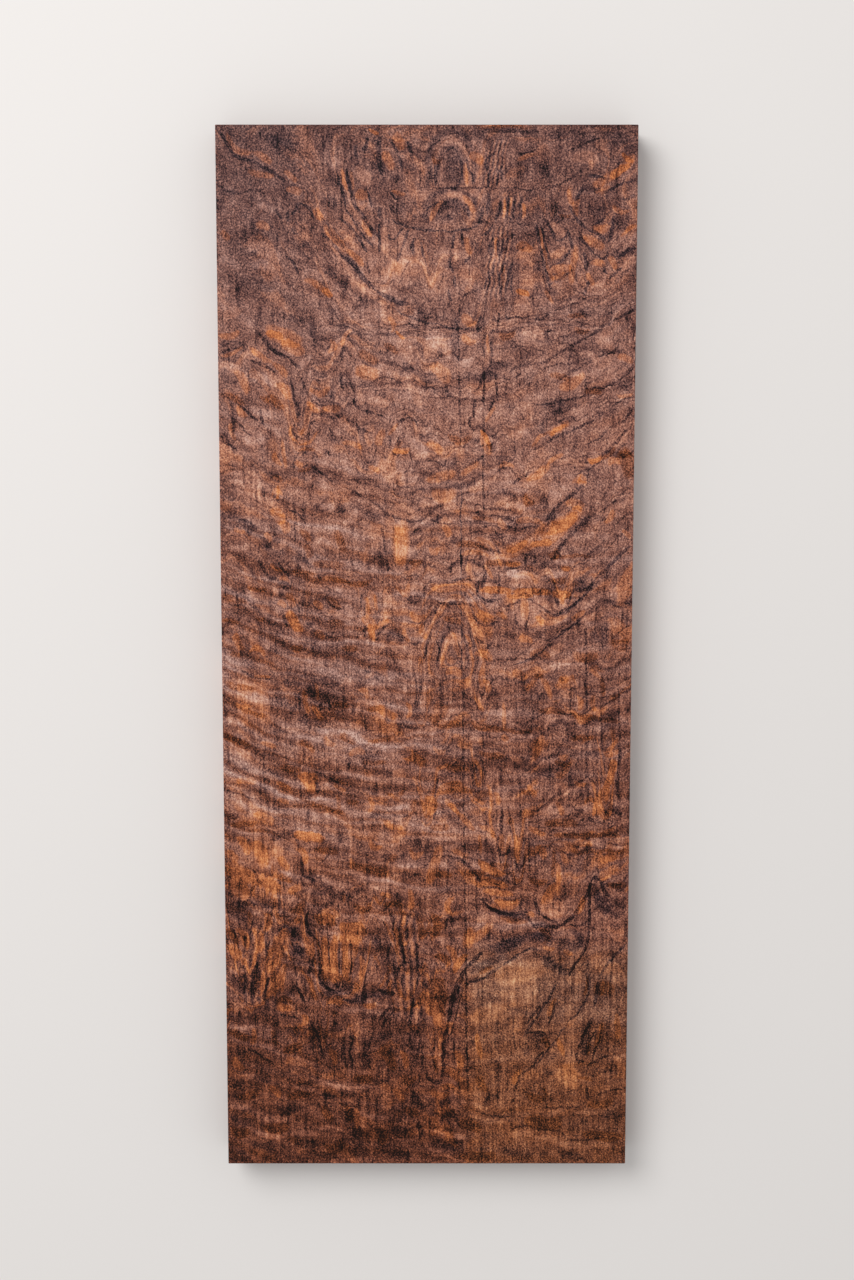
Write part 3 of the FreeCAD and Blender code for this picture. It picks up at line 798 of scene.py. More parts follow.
# Below the middle, left: rolls of curl that dip to the right, with an orange patch near their middle.
lay(ink, [
    (1.05, -75, -19, -74.5, -24, -74, -29), (1.2, -62, -24, -62, -26, -62, -29),
    (1.1, -58, -21, -57, -25, -57, -29), (1.3, -65, -72, -64, -75, -64, -79),
    (1, -4, -10, -4, -18, -5, -25), (0.8, -6, -11, -6, -20, -7, -27), (0.95, -46, -56, -46, -60, -46, -65),
    (1.1, -108, -6, -101, -8.5, -90, -10.5),
])
lay(line, [
    (0.9, -68, -65, -60, -68, -52, -72), (0.8, -38, -5, -33, -6.5, -26, -8),
    (0.8, -39, -74, -35, -75, -30, -75.5), (0.8, -36, -31, -36, -38, -35.5, -44),
    (0.8, -24, -88, -16, -92, -9, -92), (0.8, -119, -76, -110, -79, -101, -82),
    (0.7, -96, -60, -96, -70, -95, -80), (0.7, -78, -88, -78, -94, -77, -101),
])
lay(shade, [
    (1.8, -85, -12, -78, -13, -73, -14.5), (3.2, -91, -22, -83, -24, -76, -28),
    (1.8, -69, -13, -68, -18, -67, -23), (2.2, -73, -33, -70, -37, -68, -41),
    (2.2, -6, -24, -5, -28, -5, -34), (1.8, -91, -86, -85, -87, -80, -88),
    (1.8, -93, -37, -87, -40, -81, -43), (2.6, -119, -60, -112, -62, -104, -66),
    (2.4, -112, -38, -106, -40, -100, -44), (2.4, -30, -66, -24, -66, -18, -70),
    (2.6, -119, -90, -112, -92, -108, -90), (2.2, -96, -64, -90, -66, -84, -70),
    (2.8, -20, -37, -14, -38, -8, -36), (2.2, -35, -92, -30, -92, -24, -96),
    (2.6, -106, -75, -98, -76, -92, -76),
])
lay(rust, [
    (2.4, -119, -12, -111, -15, -101, -17), (3, -57, -27, -50, -26, -45, -27),
    (2.6, -75, -47, -70, -49, -66, -54), (3, -51, -43, -46, -46, -41, -48),
    (1.8, -76, -80, -68, -84, -60, -87), (1.6, -60, -87, -54, -89, -49, -90),
    (4, -10, -55, -5, -58, 0, -61), (4, -10, -85, -5, -87, 0, -88), (2, -48, -83, -44, -84, -40, -83),
    (2, -109, -29, -101, -31, -94, -33), (2.2, -119, -46, -111, -47, -103, -50),
    (2, -36, -50, -28, -47, -20, -47), (2.2, -87, -62, -80, -64, -74, -65),
    (2.2, -101, -96, -108, -97, -116, -98), (2, -38, -60, -30, -60, -24, -60),
    (2, -36, -29, -30, -28, -24, -26), (2, -24, -78, -18, -80, -12, -76),
])
lay(amber, [
    (1.4, -101, -8, -96, -9, -91, -9), (1.8, -72, -17, -71, -24, -69, -31),
    (1.3, -65, -13, -64, -18, -64, -23), (2.2, -68, -27, -64, -30, -61, -35),
    (3, -46, -55, -41, -53, -36, -54), (1.6, -55, -73, -51, -75, -47, -77),
    (1.5, -53, -79, -52, -84, -52, -88), (1.6, -88, -82, -84, -83, -81, -84),
    (3.2, -102, -91, -95, -93, -90, -97), (3.2, -28, -26, -22, -32, -17, -33),
    (1.5, -15, -57, -11, -58, -9, -51), (4, -75, -66, -70, -71, -67, -78),
    (2, -112, -24, -108, -27, -103, -27), (2, -98, -48, -92, -49, -88, -51),
    (2.4, -26, -94, -20, -98, -14, -99), (2.2, -60, -44, -58, -48, -54, -50),
    (2.2, -40, -16, -36, -18, -34, -22), (2.4, -112, -70, -106, -71, -100, -72),
    (1.8, -12, -24, -10, -29, -12, -34), (2, -34, -80, -32, -85, -34, -90),
    (2, -88, -72, -84, -74, -80, -76),
])
lay(glow, [
    (3.2, -73, -67, -69, -71, -66, -78), (2.6, -73, -67, -68, -69, -64, -70),
    (2.2, -78, -102, -70, -103, -62, -104), (1.6, -66, -27, -64, -30, -62, -33),
])
lay(tan, [
    (1, -8, -10, -7, -17, -8, -25), (1, -2, -11, -1, -18, -2, -27), (3, -50, -14, -46, -12, -42, -14),
    (3, -20, -70, -16, -66, -12, -68), (3, -45, -38, -40, -38, -38, -34),
    (2.4, -60, -98, -56, -101, -52, -103),
])
lay(crest, [
    (1.6, -113, -10, -106, -13, -99, -15), (1.6, -93, -13, -86, -15, -79, -18),
    (2.6, -119, -18, -109, -21, -99, -24), (2.6, -101, -24, -96, -27, -91, -30),
    (1.4, -59, -33, -52, -36, -47, -39), (2.6, -93, -32, -85, -37, -75, -42),
    (2.6, -91, -52, -82, -55, -75, -59), (1.6, -65, -69, -59, -72, -54, -75),
    (1.6, -65, -80, -61, -82, -57, -84), (1.6, -61, -90, -54, -94, -47, -97),
    (2, -99, -86, -92, -89, -87, -92), (4, -28, -18, -20, -20, -11, -16),
    (1.9, -27, -52, -20, -54, -13, -58), (2.4, -119, -34, -112, -35, -105, -37),
    (2.4, -118, -53, -110, -55, -101, -58), (2.2, -56, -60, -50, -63, -44, -67),
    (2.4, -42, -22, -36, -24, -30, -24), (2.4, -112, -84, -104, -86, -97, -86),
    (2.2, -90, -76, -84, -79, -77, -82), (2.4, -40, -68, -34, -69, -28, -70),
    (2.4, -22, -84, -16, -86, -10, -82), (2, -66, -40, -60, -42, -55, -45),
    (2.2, -34, -40, -27, -42, -20, -42),
])

# Below the middle, right: a hairline that runs straight down, rust troughs of curl beside it, and a long
# amber

# streak near the edge with a dark line along it.
lay(line, [
    (0.9, 20.5, 0, 21, -20, 21.3, -42), (1.1, 21, -19, 25, -23, 29, -25),
    (1, 21.3, -40, 21.5, -58, 21.6, -78), (0.8, 21.6, -76, 22, -90, 22.2, -104),
    (0.9, 93, -2, 93.3, -14, 93.5, -30), (0.7, 93.5, -46, 94, -65, 94, -84),
    (0.8, 37, -7, 38, -12, 38, -18), (0.7, 61, -14, 61.5, -28, 62, -44), (0.7, 72, -44, 72, -60, 73, -78),
    (0.7, 112, -14, 112.5, -30, 113, -46), (0.7, 55, -68, 55, -80, 56, -94),
    (0.7, 84, -12, 84, -22, 84.5, -34), (0.7, 33, -40, 33, -52, 33.5, -66), (0.7, 8, -10, 8, -24, 8.5, -36),
    (0.7, 102, -28, 102.5, -40, 103, -54), (0.7, 65, -80, 65.5, -92, 66, -104),
])
lay(ink, [
    (1.2, 77, -30, 82, -31, 86, -31), (1, 113, -49, 113, -56, 112.5, -63),
    (1.1, 113.5, -62, 112, -72, 113, -82), (2.45, 106, -86, 110, -88, 115, -91),
    (1, 104, -83, 105, -88, 107, -94), (1, 27, -60, 28, -63, 29, -67), (1, 5, -79, 5, -86, 4.5, -94),
    (0.95, 44, -86, 44, -95, 43, -105),
])
lay(shade, [
    (2.2, 15, -12, 17, -15, 20, -18), (1.6, 84, -60, 84, -72, 84, -87), (1.6, 50, -90, 50, -98, 51, -104),
    (1.8, 94, -93, 100, -95, 105, -97), (2.6, 64, -21, 68, -20, 72, -21),
    (2.6, 108, -20, 112, -20, 117, -20), (2.4, 4, -24, 8, -26, 12, -25), (2.6, 40, -60, 44, -58, 50, -58),
    (2.4, 62, -66, 68, -66, 74, -67), (2.4, 92, -56, 97, -54, 102, -55), (2.6, 58, -84, 64, -88, 70, -86),
    (2.2, 24, -50, 28, -51, 33, -50),
])
lay(rust, [
    (3, 3, -37, 14, -37, 25, -36), (2.6, 24, -36, 34, -39, 46, -41), (1.7, 45, -41, 54, -42, 63, -41),
    (2.2, 65, -30, 74, -29, 83, -31), (2.2, 84, -31, 92, -33, 100, -33), (2, 99, -33, 106, -35, 114, -36),
    (2.5, 77, -10, 80, -11, 83, -11), (2, 102, -9, 102.5, -14, 103, -21), (1.8, 63, -9, 66, -9, 69, -9),
    (1.8, 75, -60, 80, -61, 85, -60), (2.2, 11, -76, 20, -76, 29, -77), (3, 28, -80, 32, -79, 37, -78),
    (3, 69, -96, 78, -96, 89, -97), (3, 11, -62, 16, -64, 21, -64), (2.2, 30, -54, 38, -56, 46, -55),
    (2, 54, -76, 60, -78, 66, -77), (2, 86, -46, 92, -45, 98, -46), (2.2, 92, -84, 96, -82, 100, -84),
    (2, 98, -104, 106, -103, 115, -104), (2.4, 2, -98, 8, -99, 14, -98),
])
lay(amber, [
    (3, 11, -6, 16, -6, 21, -8), (1.7, 28, -21, 31, -26, 33, -30), (2.1, 34, -11, 36, -15, 36, -19),
    (3.2, 50, -6, 54, -8, 58, -11), (1.5, 45, -24, 45, -33, 45.5, -41), (2, 67, -10, 70, -14, 72, -23),
    (1.8, 105, -54, 110, -49, 112, -45), (2.2, 103, -54, 109, -55, 113, -52),
    (4.5, 106, -74, 103, -82, 99, -91), (2.3, 83, -56, 80, -57, 77, -57), (2, 59, -73, 62, -77, 64, -81),
    (1.7, 87, -71, 90, -73, 94, -73), (1.4, 28, -58, 31, -64, 33, -70), (1.5, 36, -73, 38, -82, 37, -92),
    (1.4, 37, -91, 38, -98, 39, -105), (2.1, 40, -77, 42, -82, 42, -85), (2.1, 11, -82, 14, -85, 17, -88),
    (2.2, 18, -89, 22, -94, 28, -101), (2, 88, -20, 90, -24, 89, -29), (2, 60, -98, 64, -101, 70, -103),
    (2, 76, -84, 79, -88, 80, -92), (2, 44, -44, 46, -46, 48, -47), (2, 4, -50, 8, -54, 12, -53),
    (2, 98, -20, 97, -25, 98, -29),
])
lay(glow, [
    (2.8, 110, -58, 108, -68, 105, -76), (3.6, 0, -79, 3, -84, 2, -91), (1.5, 13, -84, 16, -87, 19, -90),
    (1.4, 100, -84, 99, -88, 98, -92),
])
lay(tan, [
    (2.2, 23, -9, 27, -18, 34, -28), (2.2, 109, -28, 114, -27, 119, -26), (2.2, 49, -56, 53, -58, 56, -61),
    (3, 78, -18, 82, -20, 86, -18), (3, 62, -53, 68, -54, 74, -53), (3, 50, -82, 54, -80, 56, -84),
    (3, 26, -88, 30, -90, 34, -88), (4, 76, -72, 80, -76, 84, -78),
])
lay(crest, [
    (1.6, 39, -50, 46, -48, 52, -45), (1.6, 51, -45, 57, -44, 63, -45), (2.6, 69, -36, 78, -35, 87, -37),
    (1.6, 45, -65, 51, -64.5, 56, -65), (2.4, 2, -44, 12, -44, 22, -43), (2.2, 24, -44, 32, -46, 40, -47),
    (2.2, 88, -38, 98, -40, 108, -41), (2.2, 12, -70, 20, -70, 28, -71), (2.4, 68, -90, 76, -89, 86, -90),
    (2.4, 2, -30, 10, -30, 18, -30), (2.2, 34, -30, 42, -31, 50, -30), (2.2, 84, -50, 94, -51, 102, -49),
    (2.4, 60, -60, 68, -60, 76, -59), (2.2, 2, -104, 10, -105, 18, -105), (2.2, 72, -2, 84, -3, 94, -2),
])

# Toward the foot, left: an amber mass at the edge, one pale roll that runs in from it, and an amber oval
# with a

# dark outline.
lay(ink, [
    (1.05, -102, -124, -100.5, -129, -98, -133), (1.15, -101, -133, -104, -137, -105, -141),
    (1, -88, -129, -87, -132, -86, -134), (1.05, -74, -117, -73.5, -124, -73, -128),
    (0.9, -73, -128, -69, -129.5, -66, -132), (1.05, -108, -164, -107, -170, -107, -175),
    (1.15, -93, -167, -95, -174, -97, -180), (1.15, -101, -180, -102, -190, -103, -202),
    (1.1, -94, -189, -96, -196, -97, -206), (1, -87, -169, -86, -173, -85, -177),
    (1.3, -78, -159, -79, -162, -79, -165), (1.05, -76, -196, -75, -201, -73, -206),
    (1.4, -29, -197, -24, -199, -19, -200), (0.8, -45.5, -166, -45, -178, -45, -190),
    (0.7, -58, -163, -58, -176, -57.5, -190), (0.7, -52, -166, -52, -178, -52, -191),
    (0.9, -75, -188, -77, -195, -73, -203), (0.8, -63, -150, -62, -157, -62, -163),
    (1.1, -66, -175, -68, -181, -70, -188), (1, -22, -169, -23, -176, -25, -181),
    (1.15, -23, -183, -23, -190, -23, -195), (1, -20, -179, -19, -190, -18, -199),
    (1.1, -18, -189, -15, -182, -10, -180), (1.3, -14, -180, -12, -181, -10, -181),
    (0.95, -21, -149, -20, -156, -20, -161), (0.9, -14, -167, -14, -175, -13, -181),
    (1.15, -6, -169, -5.5, -178, -5, -187),
])
lay(bold, [
    (1.2, -70.4, -149, -70.6, -160, -65, -167, -63, -182, -64, -191),
    (1.3, -64, -190, -61, -195, -54, -197),
])
lay(dusk, [
    (3.6, -64, -199, -50, -201, -34, -203), (3.6, -44, -199, -32, -200, -19, -199),
    (5, -84, -152, -79, -166, -76, -184),
])
lay(ember, [
    (18, -100, -104, -100, -125, -100, -146), (15, -102, -3, -102, -24, -102, -46),
])
lay(shade, [
    (4.2, -105, -143, -95, -144, -85, -146), (3.4, -115, -145, -110, -146, -105, -147),
    (6, -119, -190, -108, -195, -103, -201), (3.2, -61, -197, -52, -197, -43, -196),
    (2.4, -27, -195, -26, -198, -25, -201), (2.8, -3, -179, -2, -190, -1, -201),
    (3, -119, -149, -112, -152, -105, -153), (2.8, -58, -139, -50, -140, -42, -142),
    (2.8, -28, -116, -20, -118, -12, -116), (2.8, -90, -104, -85, -108, -82, -113),
    (3, -34, -162, -30, -168, -28, -174), (3, -80, -176, -76, -174, -72, -172),
    (3, -14, -104, -8, -108, -2, -106), (2.6, -70, -136, -64, -138, -58, -136),
    (3, -84, -202, -80, -198, -78, -192), (3, -16, -128, -10, -128, -4, -126),
    (3, -34, -200, -30, -203, -26, -205),
])
lay(rust, [
    (2.2, -119, -125, -110, -126.5, -101, -127), (2.6, -90, -124, -85, -129, -79, -131),
    (1.4, -91, -122, -91, -126, -90, -129), (3.6, -46, -121, -34, -124, -21, -127),
    (2.6, -92, -181, -91, -190, -92, -199), (2.2, -72, -189, -69, -194, -68, -201),
    (2.6, -67, -152, -64, -154, -61, -155), (2.6, -6, -154, -3, -160, -3, -167),
    (1.4, -59, -158, -56, -158, -53, -157), (2.2, -119, -160, -114, -166, -112, -170),
    (2.2, -86, -155, -80, -156, -74, -154), (2.4, -66, -112, -60, -113, -52, -114),
    (2.2, -26, -146, -20, -145, -14, -146), (3, -82, -150, -76, -148, -72, -143),
    (2.6, -44, -146, -38, -148, -32, -147), (2.6, -90, -206, -86, -203, -80, -205),
    (2.8, -20, -160, -16, -166, -18, -172),
])
lay(amber, [
    (6, -119, -121, -112, -126, -103, -130), (5, -103, -107, -98, -114, -95, -123),
    (5, -119, -132, -110, -137, -105, -141), (4, -96, -130, -92, -134, -87, -137),
    (2.6, -77, -111, -72, -116, -72, -121), (1.6, -45, -117, -44, -121, -44, -124),
    (2.6, -113, -159, -108, -165, -107, -173), (4, -118, -169, -114, -174, -111, -179),
    (3.2, -103, -159, -99, -166, -100, -175), (2.2, -84, -181, -86, -190, -86, -199),
    (1.2, -69, -192, -67, -198, -66, -204), (5, -61, -179, -56, -186, -51, -192),
    (3, -63, -150, -57, -150, -51, -152), (4, -54, -166, -45, -166, -38, -168),
    (0.8, -74, -186, -70, -192, -67.5, -203), (1.4, -28, -196, -24, -190, -22, -182),
    (1.4, -21, -190, -22, -196, -23, -201), (1.8, -16, -147, -14, -152, -15, -159),
    (4.2, -3, -199, 1, -206, 3, -213), (3, -112, -104, -107, -110, -106, -116),
    (2.6, -88, -116, -84, -120, -82, -124), (2.6, -34, -106, -30, -111, -26, -110),
    (2.6, -10, -112, -6, -116, -2, -114), (2.6, -82, -138, -78, -136, -74, -134),
    (2, -28, -138, -24, -139, -20, -141), (3, -95, -150, -94, -156, -96, -162),
    (2, -39, -176, -38, -184, -40, -192), (2, -10, -136, -9, -142, -10, -149),
    (3, -60, -204, -55, -203, -50, -204), (3, -119, -112, -115, -116, -112, -120),
])
lay(glow, [
    (2.8, -78, -103, -69, -104.5, -60, -106), (4, -66, -155, -60, -154.5, -54, -155),
    (4.6, -52, -159, -43, -160, -36, -160), (2.6, -61, -165, -60.5, -178, -60.5, -192),
    (2.4, -55, -164, -55, -178, -54.5, -193), (2.2, -49, -167, -48.5, -180, -48, -192),
    (3.4, -59, -180, -56, -186, -53, -190), (3, -119, -124, -113, -127, -107, -130),
    (2, -100, -110, -98, -115, -96, -120), (2.4, -52, -166, -46, -166, -41, -167),
])
lay(tan, [
    (1.4, -46, -103, -44, -110, -43, -116), (2, -94, -171, -97, -185, -99, -202),
    (1.5, -74, -185, -76, -190, -75, -197), (1.4, -12, -142, -11, -147, -13, -151),
    (3, -12, -166, -9, -172, -8, -179), (4, -84, -106, -88, -112, -90, -116),
    (3, -12, -186, -10, -192, -12, -200), (3, -32, -182, -30, -188, -32, -194),
])
lay(crest, [
    (0.9, -59, -197, -46, -201, -33, -205.5, -26, -207, -18, -207.5),
    (1.7, -73, -122, -64, -123, -57, -125), (1.7, -59, -125, -52, -126, -46, -125.5),
    (1.8, -48, -125.5, -42, -126.5, -37, -129), (1.7, -39, -129, -28, -130, -18, -130.5),
    (1.6, -36, -134, -28, -135, -21, -135), (1.6, -91, -140, -84, -142, -79, -144),
    (1.7, -85, -166, -78, -168, -70, -171), (1.3, -85, -174, -78, -177, -71, -179),
    (1.3, -74, -182, -71, -186, -66, -190), (1.3, -67, -190, -64, -193, -60, -196),
    (2, -119, -140, -112, -142, -105, -139), (2, -60, -131, -52, -133, -44, -135),
    (2, -18, -122, -10, -122, -2, -120), (2, -104, -152, -98, -149, -92, -148),
    (2, -34, -151, -28, -153, -22, -155), (2.4, -108, -184, -112, -186, -118, -184),
])

# Toward the foot, right: two small amber flames, then the great dark outline that climbs to a point, and
# the

# pale, calm wood below it.
lay(ink, [
    (1.05, 42, -104, 42, -111, 44, -117), (1.05, 43, -116, 47, -115, 49, -109),
    (1.05, 51, -110, 52, -118, 55, -125), (0.9, 55, -124, 57, -121, 58, -116),
    (0.95, 31, -134, 38, -135, 45, -135), (1.05, 30, -142, 35, -142.5, 39, -145),
    (1.3, 33, -143, 37, -147, 43, -149.5), (1.75, 47, -150, 54, -151, 60, -149),
    (1.05, 55.5, -142, 55.5, -146, 56, -149), (0.95, 60, -152, 61.5, -155.5, 64, -158),
    (0.9, 62, -158, 68, -157, 73, -157), (1.1, 64, -140, 65, -147, 69, -153),
    (0.95, 68, -152, 73, -154, 79, -157), (1, 84, -157, 90, -158, 95.5, -155),
    (1, 22, -188, 20, -193, 18, -200), (1, 44, -159, 45, -166, 46, -169),
    (1.05, 50, -165, 48, -168, 46, -168),
])
lay(dusk, [
    (3.6, 25, -187, 36, -181, 48, -176), (4.5, 36, -173, 46, -171, 58, -166),
    (4.5, 52, -165, 70, -164, 88, -162), (6, 76, -169, 85, -171, 93, -166),
    (1.8, 22, -190, 17, -204, 14, -220), (3.4, 68, -177, 74, -182, 84, -188),
    (2.6, 40, -170, 48, -168, 56, -164), (3, 62, -163, 70, -166, 74, -170),
    (3, 84, -160, 90, -164, 93, -172), (3, 40, -150, 50, -152.5, 61, -154),
    (5, 100, -137, 104, -144, 110, -150),
])
lay(bold, [
    (1.4, 33, -174, 28, -179, 23.5, -184, 19.5, -190, 16, -198, 14.2, -208, 12.5, -218),
    (1.3, 12.5, -218, 10.5, -228, 10, -241), (1.6, 36, -147, 43, -150, 50, -152),
    (1.3, 62, -158.5, 73, -158.5, 80, -158, 86, -152.5, 91, -145, 95.3, -137.5, 97, -131.5),
    (1.3, 97, -131.5, 99.5, -129.3, 102.5, -130.8, 105, -135.8, 108, -141),
    (1.2, 96, -132, 96.2, -146, 96, -160, 95, -170, 91.7, -178), (1.2, 91.7, -178, 87, -183, 85, -189),
])
lay(navy, [
    (0.9, 25, -193, 34, -189.5, 45, -182.5, 51, -178.5, 56, -174.5, 61, -172.5, 67, -173.5),
    (1.0, 78, -193, 72, -203, 65, -215, 61, -221, 58, -226),
    (0.8, 97, -188, 93.5, -206, 83, -218.5, 73.5, -233, 65, -245), (1.1, 118, -169, 110, -178, 103, -189),
    (1.2, 102, -192, 101, -200, 99.5, -208), (1.2, -7.5, -176, -6, -190, -6.7, -200, -9, -210, -11, -220),
])
lay(line, [
    (0.8, 94.5, -103, 94.7, -116, 95, -130), (1, 23, -195, 30, -190.5, 38, -189.5),
    (0.8, 95.5, -178, 95.7, -188, 95.5, -198),
    (1, 22.2, -100, 22.6, -124, 22.8, -148, 23.2, -172, 23.6, -196), (0.7, 60, -104, 60, -116, 61, -128),
    (0.7, 101, -112, 101, -120, 102, -128), (0.8, 110, -168, 110, -185, 109, -203),
    (0.7, 50, -158, 52, -164, 52, -171), (0.8, 80, -104, 86, -103, 92, -104),
])
lay(shade, [
    (4.2, 12, -116, 17, -121, 25, -118), (3.2, 98, -132, 100, -138, 103, -144),
    (2.8, 111, -142, 115, -146, 119, -148), (2.2, 33, -165, 38, -166, 43, -165),
    (2.4, 39, -175, 48, -172, 56, -168), (2.6, 69, -177, 73, -178, 76, -180),
    (2.2, 75, -182, 82, -184, 87, -187), (1.8, 80, -168, 83, -167, 85, -166),
    (3, 5, -134, 10, -136, 15, -135), (3, 14, -150, 14, -160, 16, -170), (3, 55, -104, 60, -108, 66, -106),
    (3, 84, -124, 88, -126, 92, -124), (3, 104, -150, 110, -152, 117, -151),
    (2.6, 38, -128, 44, -129, 50, -131), (3, 76, -142, 82, -140, 86, -136),
])
lay(rust, [
    (2.6, 4, -127, 9, -127, 15, -128), (2.3, 37, -121, 43, -122, 49, -122),
    (2.2, 43, -153, 51, -155, 60, -156), (1.5, 75, -112, 75, -120, 74, -129),
    (1.8, 85, -113, 96, -113, 107, -113), (1.8, 105, -113, 112, -114, 117, -112),
    (2.2, 74, -104, 88, -104, 101, -104), (1.8, 31, -187, 35, -185, 39, -184),
    (3, 67, -160, 71, -163, 70, -169), (5, 99, -197, 105, -196, 112, -197),
    (1.2, 93, -201, 95, -196, 96, -189), (2.4, 60, -130, 66, -132, 72, -131),
    (2.4, 24, -127, 30, -126, 35, -126), (2.4, 106, -132, 112, -134, 118, -133),
    (3, 3, -150, 6, -158, 5, -166), (3, 4, -176, 10, -178, 14, -184), (7, 4, -188, 7, -200, 4, -213),
])
lay(amber, [
    (3.6, 8, -109, 5, -120, 1, -133), (2.1, 43, -103, 44, -108, 45, -113),
    (2.2, 53, -103, 53, -111, 54, -121), (1.2, 31, -103, 31.5, -109, 32, -115),
    (2.6, 33, -137, 42, -138, 51, -139), (3.2, 41, -142, 48, -146, 55, -142),
    (1.8, 59, -150, 62, -151, 64, -152), (2.6, 87, -151, 91, -147, 93, -140),
    (3, 102, -130, 107, -126, 113, -122), (2.2, 77, -120, 78, -128, 77, -137),
    (4.2, 26, -159, 25, -166, 24, -173), (3.2, 39, -157, 32, -163, 26, -169),
    (1.9, 69, -171, 72, -172, 76, -173), (2.1, 81, -173, 84, -175, 87, -176),
    (1.2, 104, -201, 105, -196, 105, -191), (3, 64, -110, 68, -113, 70, -118),
    (2.4, 16, -140, 12, -146, 14, -152), (2.4, 102, -118, 106, -118, 112, -117),
    (2.6, 12, -170, 16, -176, 18, -184), (2.4, 86, -108, 92, -108, 98, -109),
])
lay(glow, [
    (3, 30, -118, 37, -124, 46, -127), (2.6, 31, -129, 39, -132, 48, -134),
    (1.8, 40, -143, 47, -145, 53, -142), (1.6, 53, -105, 53, -111, 54, -118),
    (1.5, 90, -149, 91, -146, 93, -142), (2.4, 25, -160, 25, -166, 24, -170),
    (2.4, 24, -176, 20, -180, 16, -186),
])
lay(tan, [
    (2.6, 29, -154, 40, -154, 51, -156), (6, 66, -140, 75, -147, 82, -150),
    (3.2, 69, -149, 75, -151, 80, -152), (8, 40, -190, 55, -186, 71, -184),
    (10, 44, -200, 55, -198, 67, -200), (4, 108, -160, 113, -164, 118, -160),
    (5, 98, -176, 104, -182, 110, -186), (4, 82, -190, 88, -192, 92, -186),
    (4, 58, -120, 62, -124, 66, -122), (3, 84, -140, 88, -133, 90, -128),
    (4, 110, -180, 114, -188, 116, -196), (4, 74, -164, 80, -162, 88, -162),
])
lay(crest, [
    (1.5, 26, -188, 36, -186, 45, -184, 52, -179, 58, -174.5, 66, -172.5, 74, -172),
    (1.7, 34, -125, 42, -127, 51, -130), (1.9, 51, -136, 57, -138, 63, -139),
    (1.9, 49, -157, 60, -157, 73, -158), (1.8, 75, -109, 86, -107.5, 96, -108),
    (1.8, 94, -108, 104, -110, 117, -111), (2, 2, -122, 8, -121, 14, -123),
    (2, 58, -114, 64, -117, 70, -116), (2.2, 110, -137, 114, -139, 119, -138),
    (2.4, 10, -112, 16, -110, 22, -109),
])

# The foot, left: the wood turns a dull red brown, with short dark marks and faint pale rolls across it.
lay(ink, [
    (1, -88, -212, -82, -213.5, -77, -215), (1.1, -107, -233, -102, -236, -98, -238),
    (0.9, -100, -238, -96, -240, -91, -244), (0.9, -70, -216, -65, -226, -62, -241),
    (0.9, -44, -225, -45, -230, -46, -236), (0.9, -46, -234, -45, -241, -44, -247),
    (1.05, -33, -225, -34, -230, -35, -234), (1.1, -21, -206, -25, -211, -29, -217),
    (0.9, -20, -211, -24, -215, -27, -221), (1.8, -63, -261.5, -59, -263.5, -54, -262.5),
    (1, -8, -202, -9, -208, -10, -214), (1.1, -5, -215, -5, -222, -5, -227),
    (1, -4, -227, -5, -235, -6, -241), (1.05, -2, -231, -3, -240, -2, -249),
    (1.35, -5, -278, -4, -284, -4, -290),
])
lay(shade, [
    (2.2, -115, -234, -111, -236, -107, -236), (1.8, -119, -255, -114, -257, -109, -258),
    (2.2, -56, -216, -53, -220, -50, -223), (2.6, -41, -213, -35, -214, -29, -214),
    (2, -50, -231, -50, -238, -48, -245), (4.2, -41, -235, -37, -240, -35, -247),
    (2.6, -51, -260, -44, -262, -39, -265), (5, -45, -283, -39, -288, -35, -293),
    (4.2, -47, -296, -40, -298, -35, -297), (2.8, -3, -209, -2, -215, -2, -221),
    (3.2, -9, -261, -5, -267, -1, -271), (3, -84, -222, -78, -224, -72, -224),
    (3, -104, -250, -98, -252, -92, -252), (3, -90, -270, -84, -272, -78, -270),
    (3, -30, -224, -24, -226, -20, -224), (3, -119, -276, -112, -278, -105, -277),
    (3.4, -80, -290, -72, -293, -64, -292), (2.6, -34, -252, -28, -254, -22, -252),
    (3, -22, -286, -16, -284, -10, -284), (3, -68, -252, -72, -256, -76, -256),
    (3, -106, -292, -98, -294, -90, -293), (3, -24, -298, -16, -300, -8, -299),
    (4, -48, -224, -47, -236, -46, -248), (4, -38, -226, -36, -236, -35, -246),
    (3, -8, -214, -8, -230, -7, -246), (5, -46, -268, -44, -282, -40, -298),
    (4, -8, -252, -7, -266, -8, -280),
])
lay(rust, [
    (2.2, -92, -221, -91, -227, -90, -232), (3.2, -63, -269, -60, -274, -57, -279),
    (2.8, -48, -269, -46, -275, -46, -280), (4, -27, -231, -22, -240, -19, -247),
    (3, -119, -222, -112, -225, -106, -228), (3, -86, -236, -80, -233, -74, -232),
    (3, -113, -264, -106, -262, -100, -260), (3, -84, -264, -78, -262, -70, -262),
    (4, -30, -282, -26, -288, -27, -294), (4, -98, -282, -90, -283, -82, -281),
    (3.4, -14, -250, -10, -254, -6, -252), (4, -62, -294, -54, -296, -50, -290),
    (3, -44, -252, -38, -252, -32, -253), (4, -118, -284, -112, -286, -106, -284),
    (3, -14, -270, -10, -272, -5, -274),
])
lay(amber, [
    (2.2, -103, -221, -103, -226, -105, -231), (3.2, -116, -239, -113, -244, -110, -247),
    (2.2, -43, -270, -42, -276, -42, -283), (2.6, -90, -208, -86, -208, -80, -209),
    (2.4, -58, -233, -56, -238, -55, -244), (2.4, -30, -206, -34, -208, -38, -207),
    (2.4, -16, -234, -13, -240, -12, -246), (2.6, -94, -256, -90, -260, -88, -264),
    (2.4, -20, -258, -16, -262, -14, -266), (2.6, -74, -212, -72, -216, -74, -220),
])
